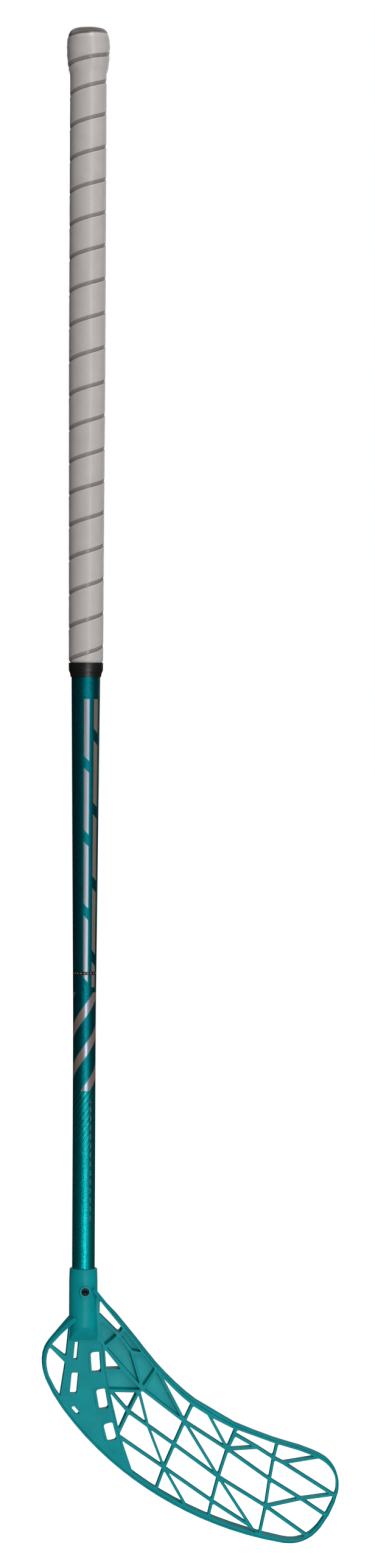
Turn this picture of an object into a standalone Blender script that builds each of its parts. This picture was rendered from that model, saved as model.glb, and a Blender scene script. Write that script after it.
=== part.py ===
"""Floorball stick: a tapered composite shaft with an end cap, a wound grip and its closing tape,
and a moulded lattice blade that two screws hold on the shaft's lower end.

Metres, +Z up. The shaft runs down from the origin at the middle of the butt face, the toe of the
blade points to +X, and its forehand side, the hollow of the hook, faces -Y.
"""

import math

import bmesh
import bpy
from mathutils import Matrix, Vector

MM = 0.001
GAP = 0.3 * MM
ROUND_STEPS = 40

# Shaft, with heights measured down from the butt face
SHAFT_TOP = -2.2 * MM
SHAFT_END = -1005.0 * MM
SHAFT_WALL = 1.5 * MM
SHAFT_TAPER = ((-2.2, 11.9), (-260.0, 11.8), (-502.0, 11.15), (-760.0, 8.87), (-790.0, 8.8), (-1005.0, 8.8))

# End cap: a plug in the bore and a skirt round the outside that fills out the knob
CAP_FACE_RADIUS = 9.8 * MM
CAP_SHOULDER = ((-0.4, 11.2), (-1.0, 12.2), (-1.8, 13.0))
CAP_PLUG_LENGTH = 25.0 * MM
CAP_PLUG_WALL = 2.0 * MM
CAP_SKIRT = ((-2.4, 13.3), (-34.0, 12.42))

# Wound grip and the tape that closes its lower end. The gap between turns is followed down the side
# that the forehand faces, a little towards the heel, where it is known best.
GRIP_TOP = -2.4 * MM
GRIP_BOTTOM = -496.4 * MM
GRIP_PITCH = 25.7 * MM
GRIP_TURN_GAP = 0.6 * MM
GRIP_SECOND_GAP = -47.0 * MM
GRIP_TIGHTENING = 2.7 * MM
GRIP_FRONT = 260.8
GRIP_STEPS = 18
GRIP_BEVEL = 4.0 * MM
GRIP_BEVEL_DROP = 0.5 * MM
GRIP_RIDGE = 0.2 * MM
GRIP_SHAPE = (
    (-2.4, 14.3), (-3.0, 14.75), (-4.4, 15.4), (-5.9, 15.9), (-9.5, 16.5), (-19.5, 16.5), (-26.6, 15.9),
    (-31.3, 15.0), (-34.0, 14.15), (-36.0, 14.1), (-260.0, 14.1), (-489.3, 13.2), (-490.2, 12.4), (-496.4, 12.4),
)
GRIP_UNDER_GAP = 0.45 * MM
CLOSING_TOP = -490.9 * MM
CLOSING_BOTTOM = -501.9 * MM
CLOSING_RADIUS = 13.35 * MM
CLOSING_STEP = -496.8 * MM
CLOSING_THICKNESS = 0.45 * MM

# Hosel, the round socket of the blade
HOSEL_TOP = -960.0 * MM
HOSEL_LENGTH = 57.0 * MM
HOSEL_RADIUS = 11.0 * MM
HOSEL_MOUTH_RADIUS = 10.65 * MM
HOSEL_SLOPE = 12.5 * MM
HOSEL_SLOPE_POWER = 1.35

# Screws, one each side, square to the blade
SCREW_Z = -977.0 * MM
SCREW_HEAD_RADIUS = 2.75 * MM
SCREW_HEAD_HEIGHT = 1.3 * MM
SCREW_SHANK_RADIUS = 1.6 * MM
SCREW_LENGTH = 8.0 * MM
SCREW_BOSS_RADIUS = 4.3 * MM
SCREW_BOSS_FACE = 11.9 * MM
SCREW_SEAT = 10.2 * MM

# Blade plane: u runs from the shaft's axis towards the toe, d down from the hosel's mouth, in mm
FACE_OFFSET = -3.0
LOFT = 0.15
LOFT_TOP = 30.0
LOFT_PIVOT = 48.0
HOOK = 9.0
HOOK_LENGTH = 190.0
RIB_WIDTH = 2.1
RIB_FRONT = 0.05
RIB_BACK = 5.0
CORNER_RADIUS = 1.1
CORNER_CUT = 0.8
RIM_LIP = 0.2

# By the hosel the lattice is deeper towards the back, and the rim's ends come forward onto the hosel
NECK_SWELL = 0.7
NECK_FULL = (0.0, 30.0, 100.0)
NECK_GONE = (-22.0, 78.0, 140.0)
RIM_ENDS = {
    (-8.5, 35.8): 6.0, (-14.0, 41.4): 3.5, (-20.3, 48.6): 1.0,
    (18.9, 28.1): 1.5, (11.5, 18.9): 4.5, (7.6, 14.0): 6.5,
}

# Outer edge of the rim, from the hosel round the heel, the sole, the toe and back: u, d, width, depth
RIM = (
    (-8.5, 35.8, 3.6, 6.0), (-14.0, 41.4, 3.6, 6.0), (-20.3, 48.6, 3.4, 6.2), (-26.1, 55.7, 3.0, 6.5),
    (-29.7, 61.9, 2.8, 7.0), (-31.4, 71.5, 2.8, 7.4), (-30.5, 79.8, 3.0, 7.8), (-28.5, 86.7, 3.2, 8.2),
    (-22.9, 98.0, 3.4, 8.8), (-5.3, 122.8, 3.8, 9.0), (23.1, 153.0, 4.0, 9.0), (63.2, 183.6, 4.0, 9.0),
    (106.9, 206.5, 3.9, 9.5), (145.7, 219.5, 3.4, 9.8), (161.2, 222.9, 2.9, 9.5), (169.5, 223.4, 2.7, 9.0),
    (177.0, 221.7, 2.7, 8.5), (184.3, 217.7, 2.7, 8.0), (191.0, 210.6, 2.7, 7.6), (197.1, 200.8, 2.6, 7.2),
    (201.3, 190.9, 2.4, 6.8), (203.7, 182.0, 2.2, 6.4), (204.1, 175.5, 2.1, 6.0), (203.2, 169.5, 2.2, 6.0),
    (201.2, 164.2, 2.3, 6.0), (197.9, 159.0, 2.6, 6.0), (192.9, 154.0, 3.0, 6.0), (182.7, 148.5, 3.1, 6.0),
    (151.8, 137.9, 3.1, 6.0), (136.3, 131.9, 3.1, 6.0), (120.8, 125.2, 4.0, 6.0), (105.2, 115.7, 5.2, 6.0),
    (89.6, 106.1, 4.6, 6.0), (73.9, 92.7, 4.0, 6.0), (58.2, 76.6, 3.4, 6.0), (42.4, 57.0, 3.0, 6.0),
    (18.9, 28.1, 2.9, 6.0), (11.5, 18.9, 2.9, 6.0), (7.6, 14.0, 2.9, 6.0),
)
RIM_TURN = 7.0
RIM_SPACING = 13.0
RIM_LAP = 0.9

# Lattice: where the ribs cross, and where they meet the rim
CROSSINGS = {
    "hosel_low": (12.3, 37.0), "pocket_top": (12.8, 39.5), "panel_neck": (17.0, 62.0),
    "fork_1": (28.0, 52.8), "fork_2": (38.0, 66.0), "fork_3": (47.5, 96.5), "tie_1": (32.0, 80.8),
    "heel_top": (-11.2, 45.5), "heel_mid": (-13.2, 70.0), "heel_low": (-13.3, 72.5), "heel_foot": (-17.0, 99.5),
    "panel_1": (18.7, 81.0), "panel_2": (21.7, 96.8), "panel_3": (30.0, 129.5), "panel_4": (31.8, 135.5),
    "knee_1": (44.8, 97.8), "cross_1": (36.8, 114.4), "cross_2": (52.5, 126.0), "cross_3": (81.0, 123.0),
    "cross_4": (73.5, 141.5), "cross_5": (66.0, 160.0), "cross_6": (115.5, 146.2), "cross_7": (109.0, 168.5),
    "cross_8": (104.5, 188.0), "cross_9": (152.0, 153.8), "cross_10": (149.5, 171.2), "cross_11": (147.0, 193.0),
    "brace_1": (120.8, 134.2), "brace_2": (138.8, 145.0), "brace_3": (159.5, 157.8), "brace_4": (174.5, 187.2),
}
RIM_CROSSINGS = {
    "rim_heel_1": (-12.0, 44.0), "rim_heel_2": (-26.0, 59.5), "rim_heel_3": (-18.0, 101.0),
    "rim_sole_1": (40.5, 160.0), "rim_sole_2": (60.5, 176.5), "rim_sole_3": (84.0, 191.5),
    "rim_sole_4": (102.0, 201.0), "rim_sole_5": (135.5, 209.0), "rim_sole_6": (143.0, 215.0),
    "rim_toe_1": (179.0, 216.5), "rim_toe_2": (194.5, 201.0), "rim_toe_3": (199.5, 184.0),
    "rim_top_1": (190.0, 153.0), "rim_top_2": (154.5, 142.0), "rim_top_3": (121.5, 130.5),
    "rim_top_4": (99.0, 116.0), "rim_top_5": (87.5, 108.0), "rim_top_6": (58.0, 80.0),
    "rim_top_7": (49.0, 68.5), "rim_top_8": (32.5, 46.5), "rim_top_9": (12.3, 20.5),
}
OPEN_CELLS = (
    ("rim_heel_1", "rim_heel_2", "heel_mid", "heel_top"),
    ("rim_heel_2", "rim_heel_3", "heel_foot", "heel_low"),
    ("rim_top_8", "rim_top_9", "hosel_low", "fork_1"),
    ("panel_neck", "panel_1", "tie_1"),
    ("panel_2", "cross_1", "knee_1"),
    ("panel_2", "panel_3", "cross_1"),
    ("knee_1", "cross_1", "cross_2"),
    ("fork_3", "knee_1", "cross_2", "cross_4", "cross_3"),
    ("cross_1", "panel_3", "panel_4", "cross_5", "cross_2"),
    ("cross_2", "cross_5", "cross_4"),
    ("panel_4", "rim_sole_1", "rim_sole_2", "cross_5"),
    ("cross_5", "rim_sole_2", "rim_sole_3"),
    ("cross_5", "rim_sole_3", "rim_sole_4", "cross_8"),
    ("cross_4", "cross_5", "cross_8", "cross_7"),
    ("cross_3", "cross_4", "cross_7"),
    ("cross_3", "cross_7", "cross_6"),
    ("rim_top_6", "cross_3", "rim_top_5"),
    ("rim_top_5", "cross_3", "cross_6", "rim_top_4"),
    ("rim_top_4", "cross_6", "rim_top_3"),
    ("brace_1", "cross_6", "brace_2"),
    ("rim_top_3", "brace_1", "brace_2", "cross_9", "rim_top_2"),
    ("cross_6", "cross_7", "cross_11", "cross_10"),
    ("cross_6", "cross_10", "cross_9", "brace_2"),
    ("cross_7", "rim_sole_5", "rim_sole_6", "cross_11"),
    ("cross_7", "cross_8", "rim_sole_5"),
    ("cross_8", "rim_sole_4", "rim_sole_5"),
    ("cross_9", "cross_10", "brace_4", "rim_toe_3", "brace_3"),
    ("cross_10", "cross_11", "brace_4"),
    ("cross_11", "rim_toe_1", "rim_toe_2", "brace_4"),
    ("cross_11", "rim_sole_6", "rim_toe_1"),
    ("brace_4", "rim_toe_2", "rim_toe_3"),
    ("cross_9", "brace_3", "rim_top_1", "rim_top_2"),
    ("brace_3", "rim_toe_3", "rim_top_1"),
)
POCKETS = (
    ("pocket_top", "panel_neck", "fork_1"),
    ("rim_top_8", "fork_1", "fork_2", "rim_top_7"),
    ("fork_1", "panel_neck", "fork_3", "fork_2"),
    ("fork_2", "fork_3", "rim_top_6", "rim_top_7"),
    ("rim_top_6", "fork_3", "cross_3"),
    ("panel_1", "panel_2", "knee_1", "fork_3", "tie_1"),
)
POCKET_FLOOR = (3.8, 4.7)
PANEL_SIDES = {
    frozenset(pair)
    for pair in (
        ("heel_top", "heel_mid"), ("heel_foot", "heel_low"), ("pocket_top", "panel_neck"),
        ("panel_neck", "panel_1"), ("panel_1", "panel_2"), ("panel_2", "panel_3"), ("panel_3", "panel_4"),
        ("panel_4", "rim_sole_1"), ("rim_heel_1", "heel_top"), ("rim_heel_3", "heel_foot"),
        ("rim_top_9", "hosel_low"),
    )
}

# Panel between the hosel and the sole: recessed field, slots and framed windows
PANEL_FIELD = (
    (-9.5, 57.0), (-11.5, 76.0), (-14.5, 102.5), (8.0, 130.5), (34.8, 154.5), (30.0, 134.0), (22.2, 103.0),
    (17.6, 80.0), (14.6, 58.0),
)
PANEL_LAP = 0.8
PANEL_FLOOR = (0.55, 3.2)
WINDOW_WIDTH = 7.8
WINDOW_FRAME = 1.7
WINDOW_FRAME_FRONT = 0.25
WINDOW_FRAME_BACK = 4.4
WINDOWS = ((10.4, 74.1, 17.4, -5.0), (16.2, 103.7, 17.4, -11.0), (22.9, 130.0, 15.2, -15.0))
SLOTS = ((-5.4, 63.8, 2.8, 15.4, 4.0), (-6.2, 90.2, 5.4, 16.6, 4.0), (-4.8, 112.0, 2.8, 7.5, -40.0))

model = bpy.data.collections.new("floorball_stick")
cutters = bpy.data.collections.new("cutters")


def clear_scene():
    for obj in list(bpy.data.objects):
        bpy.data.objects.remove(obj, do_unlink=True)
    for collection in (model, cutters):
        bpy.context.scene.collection.children.link(collection)


def make_material(name, color, roughness, metallic=0.0):
    material = bpy.data.materials.new(name)
    material.use_nodes = True
    shader = material.node_tree.nodes["Principled BSDF"]
    shader.inputs["Base Color"].default_value = (*color, 1.0)
    shader.inputs["Roughness"].default_value = roughness
    shader.inputs["Metallic"].default_value = metallic
    return material


def new_object(name, mesh, collection):
    obj = bpy.data.objects.new(name, mesh)
    collection.objects.link(obj)
    if collection is cutters:
        obj.hide_render = True
        obj.display_type = "WIRE"
    return obj


def along(stations, place):
    """Reads a value between stations of (place, value), straight from one to the next."""
    for (p0, v0), (p1, v1) in zip(stations, stations[1:]):
        if (p0 - place) * (p1 - place) <= 0.0:
            return v0 + (v1 - v0) * (place - p0) / (p1 - p0)
    return stations[0][1] if abs(place - stations[0][0]) < abs(place - stations[-1][0]) else stations[-1][1]


def shaft_radius(z):
    return along(SHAFT_TAPER, z / MM) * MM


def turned(name, profile, closed, collection, steps=ROUND_STEPS):
    """A profile of (radius, height) points, outer side first and top to bottom, turned about Z."""
    mesh = bpy.data.meshes.new(name)
    count = len(profile)
    edges = [(i, i + 1) for i in range(count - 1)] + ([(count - 1, 0)] if closed else [])
    mesh.from_pydata([(r, 0.0, z) for r, z in profile], edges, [])
    obj = new_object(name, mesh, collection)
    screw = obj.modifiers.new("Turn", "SCREW")
    screw.axis = "Z"
    screw.steps = steps
    screw.render_steps = steps
    screw.use_merge_vertices = True
    screw.merge_threshold = 0.00001
    return obj


def baked(obj):
    """Gives the object the mesh that its modifiers or its curve make, with doubled points merged."""
    graph = bpy.context.evaluated_depsgraph_get()
    graph.update()
    mesh = bpy.data.meshes.new_from_object(obj.evaluated_get(graph))
    shape = bmesh.new()
    shape.from_mesh(mesh)
    bmesh.ops.remove_doubles(shape, verts=shape.verts, dist=1e-6)
    bmesh.ops.recalc_face_normals(shape, faces=shape.faces)
    shape.to_mesh(mesh)
    shape.free()
    name, collection = obj.name, obj.users_collection[0]
    mesh.transform(obj.matrix_world)
    bpy.data.objects.remove(obj, do_unlink=True)
    return new_object(name, mesh, collection)


def with_plate(face, plate):
    """Joins a flat plate to the flat face, and clears the needless edges off its flat sides."""
    face = combined(face, plate, "UNION")
    shape = bmesh.new()
    shape.from_mesh(face.data)
    bmesh.ops.dissolve_limit(shape, angle_limit=math.radians(0.1), verts=shape.verts, edges=shape.edges)
    bmesh.ops.triangulate(shape, faces=shape.faces)
    shape.to_mesh(face.data)
    shape.free()
    return face


def combined(base, other, operation):
    """Joins or cuts the base by another solid, and removes that solid."""
    change = base.modifiers.new(operation.title(), "BOOLEAN")
    change.operation = operation
    change.solver = "EXACT"
    change.object = other
    result = baked(base)
    bpy.data.objects.remove(other, do_unlink=True)
    return result


def finish(obj, material, smooth_angle=35.0):
    obj.data.materials.clear()
    obj.data.materials.append(material)
    obj.data.shade_smooth()
    obj.data.set_sharp_from_angle(angle=math.radians(smooth_angle))
    return obj


def cylinder(name, radius, start, end, collection, segments=24, end_radius=None):
    """A round bar, or a cone, from one point to another."""
    start, end = Vector(start), Vector(end)
    direction = end - start
    shape = bmesh.new()
    bmesh.ops.create_cone(
        shape, cap_ends=True, segments=segments, radius1=radius,
        radius2=radius if end_radius is None else end_radius, depth=direction.length,
    )
    mesh = bpy.data.meshes.new(name)
    shape.to_mesh(mesh)
    shape.free()
    mesh.transform(direction.to_track_quat("Z", "Y").to_matrix().to_4x4())
    mesh.transform(Matrix.Translation((start + end) / 2))
    return new_object(name, mesh, collection)


def flat_plate(name, outlines, front, back):
    """Outlines in blade-plane millimetres, the first one outside and the others holes, made a plate
    that runs from one depth behind the face to another."""
    curve = bpy.data.curves.new(name, "CURVE")
    curve.dimensions = "2D"
    curve.fill_mode = "BOTH"
    curve.extrude = (back - front) / 2 * MM
    for outline in outlines:
        spline = curve.splines.new("POLY")
        spline.points.add(len(outline) - 1)
        for point, (u, d) in zip(spline.points, outline):
            point.co = (u * MM, -d * MM, 0.0, 1.0)
        spline.use_cyclic_u = True
    obj = new_object(name, curve, cutters)
    obj.rotation_euler = (math.radians(90.0), 0.0, 0.0)
    obj.location.y = (front + back) / 2 * MM
    bpy.context.view_layer.update()
    return baked(obj)


def spline_point(points, index, t):
    """Catmull-Rom between points[index] and the next, for all of their values."""
    p1, p2 = points[index], points[index + 1]
    p0 = points[index - 1] if index > 0 else tuple(2 * a - b for a, b in zip(p1, p2))
    p3 = points[index + 2] if index + 2 < len(points) else tuple(2 * b - a for a, b in zip(p1, p2))
    span = math.hypot(p2[0] - p1[0], p2[1] - p1[1])
    before = max(math.hypot(p1[0] - p0[0], p1[1] - p0[1]), 1e-6)
    after = max(math.hypot(p3[0] - p2[0], p3[1] - p2[1]), 1e-6)
    values = []
    for a, b, c, e in zip(p0, p1, p2, p3):
        slope_in = ((b - a) / before * span + (c - b) / span * before) / (before + span) * span
        slope_out = ((c - b) / span * after + (e - c) / after * span) / (after + span) * span
        h = (2 * t**3 - 3 * t**2 + 1) * b + (t**3 - 2 * t**2 + t) * slope_in
        values.append(h + (3 * t**2 - 2 * t**3) * c + (t**3 - t**2) * slope_out)
    return values


def direction_at(index):
    """Angle of the rim's outer edge at one of its points, from the points beside it."""
    before, after = RIM[max(index - 1, 0)], RIM[min(index + 1, len(RIM) - 1)]
    return math.atan2(after[1] - before[1], after[0] - before[0])


def rim_path():
    """Samples of the rim's outer edge: (u, d, width, depth, rise at its ends, inward u, inward d)."""
    samples = []
    stations = [(*station, RIM_ENDS.get(station[:2], 0.0)) for station in RIM]
    for index in range(len(RIM) - 1):
        start, end = RIM[index], RIM[index + 1]
        ahead = direction_at(index + 1)
        turn = abs(math.degrees((direction_at(index) - ahead + math.pi) % (2 * math.pi) - math.pi))
        count = max(1, round(turn / RIM_TURN), round(math.dist(start[:2], end[:2]) / RIM_SPACING))
        samples += [spline_point(stations, index, step / count) for step in range(count)]
    samples.append(list(stations[-1]))
    path = []
    for i, sample in enumerate(samples):
        before, after = samples[max(i - 1, 0)], samples[min(i + 1, len(samples) - 1)]
        du, dd = after[0] - before[0], after[1] - before[1]
        length = math.hypot(du, dd)
        path.append((*sample, dd / length, -du / length))
    return path


def inset_path(path, inset):
    """The rim's edge moved inwards by a share of its width and a fixed amount."""
    share, fixed = inset
    return [(u + nu * (w * share + fixed), d + nd * (w * share + fixed)) for u, d, w, _, _, nu, nd in path]


def rim_solid(path):
    """A loft along the rim: outer bead, groove, inner band and a back flange whose depth varies."""
    shape = bmesh.new()
    rings = []
    for u, d, width, depth, rise, nu, nd in path:
        section = (
            (0.0, 0.8 - rise), (0.1 * width, 0.25 - rise), (0.22 * width, -rise), (0.38 * width, -rise),
            (0.47 * width, 0.8 - rise), (0.58 * width, 0.45 - rise), (width, 0.45 - rise), (width, depth),
            (0.5, depth), (0.0, depth - 0.6),
        )
        rings.append([shape.verts.new(((u + nu * s) * MM, w * MM, -(d + nd * s) * MM)) for s, w in section])
    for ring, following in zip(rings, rings[1:]):
        for i in range(len(ring)):
            j = (i + 1) % len(ring)
            shape.faces.new((ring[i], ring[j], following[j], following[i]))
    shape.faces.new(rings[0])
    shape.faces.new(list(reversed(rings[-1])))
    bmesh.ops.recalc_face_normals(shape, faces=shape.faces)
    mesh = bpy.data.meshes.new("rim")
    shape.to_mesh(mesh)
    shape.free()
    return new_object("rim", mesh, cutters)


def nearest(line, place):
    return min(range(len(line)), key=lambda i: math.hypot(line[i][0] - place[0], line[i][1] - place[1]))


def side_of(line, place):
    """Which side of a line of (point, direction) the place is on, as a signed distance."""
    (pu, pd), (vu, vd) = line
    return vu * (place[1] - pd) - vd * (place[0] - pu)


def meeting(line_a, line_b):
    """Where two lines of (point, direction) cross."""
    (au, ad), (bu, bd) = line_a
    share = side_of(line_b, (au, ad)) / (side_of(line_b, (au, ad)) - side_of(line_b, (au + bu, ad + bd)))
    return (au + bu * share, ad + bd * share)


def trimmed(run, line):
    """Cuts the start off a run of points at the place where it crosses the line."""
    for i in range(len(run) - 1):
        here, there = side_of(line, run[i]), side_of(line, run[i + 1])
        if here * there < 0.0 and abs(here) < 60.0:
            share = here / (here - there)
            corner = tuple(a + (b - a) * share for a, b in zip(run[i], run[i + 1]))
            rest = [p for p in run[i + 1:] if math.dist(p, corner) > 1.8]
            return [corner] + rest
    return run


def cell_outline(names, inner_rim, lap=0.0):
    """The opening that a loop of crossings leaves between its ribs, with rounded corners. With a lap it
    is that much larger, for a floor that runs on into the ribs."""
    places = [CROSSINGS.get(name) or RIM_CROSSINGS[name] for name in names]
    middle = [sum(values) / len(places) for values in zip(*places)]
    edges = []
    for i, name in enumerate(names):
        other = names[(i + 1) % len(names)]
        start, end = places[i], places[(i + 1) % len(names)]
        if name in RIM_CROSSINGS and other in RIM_CROSSINGS:
            first, last = nearest(inner_rim, start), nearest(inner_rim, end)
            reach = range(first - 1, last + 2) if first < last else range(first + 1, last - 2, -1)
            edges.append([inner_rim[k] for k in reach if 0 <= k < len(inner_rim)])
            continue
        half = (0.0 if frozenset((name, other)) in PANEL_SIDES else RIB_WIDTH / 2) - lap
        length = math.dist(start, end)
        direction = ((end[0] - start[0]) / length, (end[1] - start[1]) / length)
        turn = 1.0 if side_of((start, direction), middle) > 0.0 else -1.0
        moved = (start[0] - direction[1] * half * turn, start[1] + direction[0] * half * turn)
        edges.append((moved, direction))
    outline = []
    for i, edge in enumerate(edges):
        before, after = edges[i - 1], edges[(i + 1) % len(edges)]
        if isinstance(edge, list):
            run = trimmed(edge, before) if isinstance(before, tuple) else edge
            run = list(reversed(trimmed(list(reversed(run)), after))) if isinstance(after, tuple) else run
            outline += run
        elif isinstance(after, tuple):
            outline.append(meeting(edge, after))
    return rounded(outline, CORNER_RADIUS, most_cut=CORNER_CUT)


def rounded(outline, radius, least_turn=25.0, most_cut=9.0):
    """The outline with an arc at each real corner, smaller where the arc would cut off more than the most."""
    result = []
    count = len(outline)
    for i, corner in enumerate(outline):
        to_before = [a - b for a, b in zip(outline[i - 1], corner)]
        to_after = [a - b for a, b in zip(outline[(i + 1) % count], corner)]
        before, after = math.hypot(*to_before), math.hypot(*to_after)
        cosine = (to_before[0] * to_after[0] + to_before[1] * to_after[1]) / (before * after)
        turn = math.pi - math.acos(max(-1.0, min(1.0, cosine)))
        if turn < math.radians(least_turn):
            result.append(corner)
            continue
        fitting = min(radius, most_cut / (1.0 / math.cos(turn / 2) - 1.0))
        reach = min(fitting * math.tan(turn / 2), 0.45 * before, 0.45 * after)
        start = [c + v / before * reach for c, v in zip(corner, to_before)]
        end = [c + v / after * reach for c, v in zip(corner, to_after)]
        pieces = 4 if turn > math.radians(100.0) else 3
        for step in range(pieces + 1):
            t = step / pieces
            weight = math.cos(turn / 2)
            parts = ((1 - t) ** 2, 2 * t * (1 - t) * weight, t**2)
            total = sum(parts)
            weights = [part / total for part in parts]
            result.append(tuple(sum(w * v for w, v in zip(weights, values)) for values in zip(start, corner, end)))
    return result


def rounded_box(place, size, angle, radius):
    """A box outline with round corners about a place in the blade plane, leaning by an angle."""
    (u, d), (width, height) = place, size
    lean = math.radians(angle)
    corners = []
    for su, sd in ((-1, -1), (1, -1), (1, 1), (-1, 1)):
        a, b = su * width / 2, sd * height / 2
        across, down = a * math.cos(lean) - b * math.sin(lean), a * math.sin(lean) + b * math.cos(lean)
        corners.append((u + across, d + down))
    return rounded(corners, radius)


def grown(outline, distance):
    """The outline with every side moved out by the distance."""
    middle = [sum(values) / len(outline) for values in zip(*outline)]
    sides = []
    for start, end in zip(outline, outline[1:] + outline[:1]):
        length = math.dist(start, end)
        direction = ((end[0] - start[0]) / length, (end[1] - start[1]) / length)
        out = -distance if side_of((start, direction), middle) > 0.0 else distance
        sides.append(((start[0] - direction[1] * out, start[1] + direction[0] * out), direction))
    return [meeting(sides[i - 1], side) for i, side in enumerate(sides)]


def blade_face():
    """The rim, the rib lattice, the pocket floors and the panel, still flat."""
    path = rim_path()
    inner_rim = inset_path(path, (1.0, RIM_LIP))
    field = rounded(PANEL_FIELD, 3.0)
    holes = [cell_outline(names, inner_rim) for names in OPEN_CELLS + POCKETS]
    plate = inset_path(path, (0.5, 0.0))
    face = flat_plate("web", [plate] + holes + [field], RIB_FRONT, RIB_BACK)
    rim_lap = inset_path(path, (1.0, -RIM_LAP))
    for i, names in enumerate(POCKETS):
        floor = flat_plate(f"pocket_floor_{i + 1}", [cell_outline(names, rim_lap, RIM_LAP)], *POCKET_FLOOR)
        face = with_plate(face, floor)
    windows = [rounded_box((u, d), (WINDOW_WIDTH, height), angle, 2.0) for u, d, height, angle in WINDOWS]
    slots = [rounded_box((u, d), (width, height), angle, 1.1) for u, d, width, height, angle in SLOTS]
    floor_edge = rounded(grown(PANEL_FIELD, PANEL_LAP), 3.0)
    face = with_plate(face, flat_plate("panel_floor", [floor_edge] + windows + slots, *PANEL_FLOOR))
    for i, (u, d, height, angle) in enumerate(WINDOWS):
        outer = (WINDOW_WIDTH + 2 * WINDOW_FRAME, height + 2 * WINDOW_FRAME)
        inner = (WINDOW_WIDTH - 0.5, height - 0.5)
        rings = [rounded_box((u, d), outer, angle, 4.0), rounded_box((u, d), inner, angle, 1.8)]
        frame = flat_plate(f"window_frame_{i + 1}", rings, WINDOW_FRAME_FRONT, WINDOW_FRAME_BACK)
        face = with_plate(face, frame)
    return combined(face, rim_solid(path), "UNION")


def face_height(u, d):
    """How far the face stands from the shaft's axis, in mm: leaned back by the loft and curved by the hook."""
    return FACE_OFFSET + LOFT * (max(d, LOFT_TOP) - LOFT_PIVOT) - HOOK * (max(u, 0.0) / HOOK_LENGTH) ** 2


def eased(value, full, gone):
    """1 at the full place, 0 at the other, smoothly between."""
    t = min(max((gone - value) / (gone - full), 0.0), 1.0)
    return t * t * (3.0 - 2.0 * t)


def neck_depth(u, d):
    """How much deeper than elsewhere the lattice is."""
    across = eased(u, NECK_FULL[1], NECK_GONE[1]) * eased(u, NECK_FULL[0], NECK_GONE[0])
    return 1.0 + NECK_SWELL * across * eased(d, NECK_FULL[2], NECK_GONE[2])


def bend(face):
    """Moves each point of the flat face onto the lofted and hooked face, walls square to it."""
    for vertex in face.data.vertices:
        u, depth, d = vertex.co.x / MM, vertex.co.y, -vertex.co.z / MM
        depth *= neck_depth(u, d) if depth > 0.0 else 1.0
        slope_u = -2.0 * HOOK * max(u, 0.0) / HOOK_LENGTH**2
        slope_d = LOFT if d > LOFT_TOP else 0.0
        normal = Vector((-slope_u, 1.0, slope_d)).normalized()
        vertex.co = Vector((u * MM, face_height(u, d) * MM, HOSEL_TOP - d * MM)) + normal * depth


def split_for_bending(face):
    """Adds points across the long ribs, so that they follow the hook."""
    shape = bmesh.new()
    shape.from_mesh(face.data)
    for u in (55.0, 105.0, 155.0):
        geometry = shape.verts[:] + shape.edges[:] + shape.faces[:]
        bmesh.ops.bisect_plane(shape, geom=geometry, dist=1e-6, plane_co=(u * MM, 0, 0), plane_no=(1, 0, 0))
    shape.to_mesh(face.data)
    shape.free()


def hosel_solid():
    """The round socket, whose lower end slopes in from the front and the back to a blunt wedge."""
    top, foot = HOSEL_TOP, HOSEL_TOP - HOSEL_LENGTH
    profile = [(0.0, top), (HOSEL_MOUTH_RADIUS - 0.4 * MM, top), (HOSEL_MOUTH_RADIUS, top - 0.4 * MM)]
    profile += [(HOSEL_RADIUS - 0.15 * MM, top - 5 * MM), (HOSEL_RADIUS, top - 11 * MM)]
    profile += [(HOSEL_RADIUS * share, foot) for share in (1.0, 0.94, 0.82, 0.66, 0.48, 0.3, 0.15, 0.0)]
    hosel = baked(turned("hosel", profile, False, cutters))
    for vertex in hosel.data.vertices:
        if vertex.co.z < foot + HOSEL_SLOPE:
            vertex.co.z = foot + HOSEL_SLOPE * (abs(vertex.co.y) / HOSEL_RADIUS) ** HOSEL_SLOPE_POWER
    return hosel


def make_blade(material):
    face = blade_face()
    split_for_bending(face)
    bend(face)
    blade = combined(hosel_solid(), face, "UNION")
    for side in (-1.0, 1.0):
        root, top = (0, side * 8 * MM, SCREW_Z), (0, side * SCREW_BOSS_FACE, SCREW_Z)
        boss = cylinder("boss", SCREW_BOSS_RADIUS, root, top, cutters)
        blade = combined(blade, boss, "UNION")
    bore_radius = shaft_radius(SHAFT_END) + GAP
    foot, mouth = (0, 0, SHAFT_END - 2 * GAP), (0, 0, HOSEL_TOP + 10 * MM)
    bore = cylinder("bore", bore_radius, foot, mouth, cutters, ROUND_STEPS)
    blade = combined(blade, bore, "DIFFERENCE")
    for side in (-1.0, 1.0):
        floor, outside = (0, side * SCREW_SEAT, SCREW_Z), (0, side * 14 * MM, SCREW_Z)
        seat = cylinder("seat", SCREW_HEAD_RADIUS + GAP, floor, outside, cutters)
        blade = combined(blade, seat, "DIFFERENCE")
    blade = combined(blade, screw_hole("hosel_hole"), "DIFFERENCE")
    blade.name = "blade"
    cutters.objects.unlink(blade)
    model.objects.link(blade)
    blade.hide_render = False
    blade.display_type = "TEXTURED"
    return finish(blade, material)


def screw_hole(name):
    reach = 16 * MM
    return cylinder(name, SCREW_SHANK_RADIUS + GAP, (0, -reach, SCREW_Z), (0, reach, SCREW_Z), cutters, 16)


def make_shaft(material):
    stations = [(radius * MM, z * MM) for z, radius in SHAFT_TAPER]
    inner = [(radius - SHAFT_WALL, z) for radius, z in reversed(stations)]
    shaft = baked(turned("shaft", stations + inner, True, model))
    return finish(combined(shaft, screw_hole("shaft_hole"), "DIFFERENCE"), material)


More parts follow.
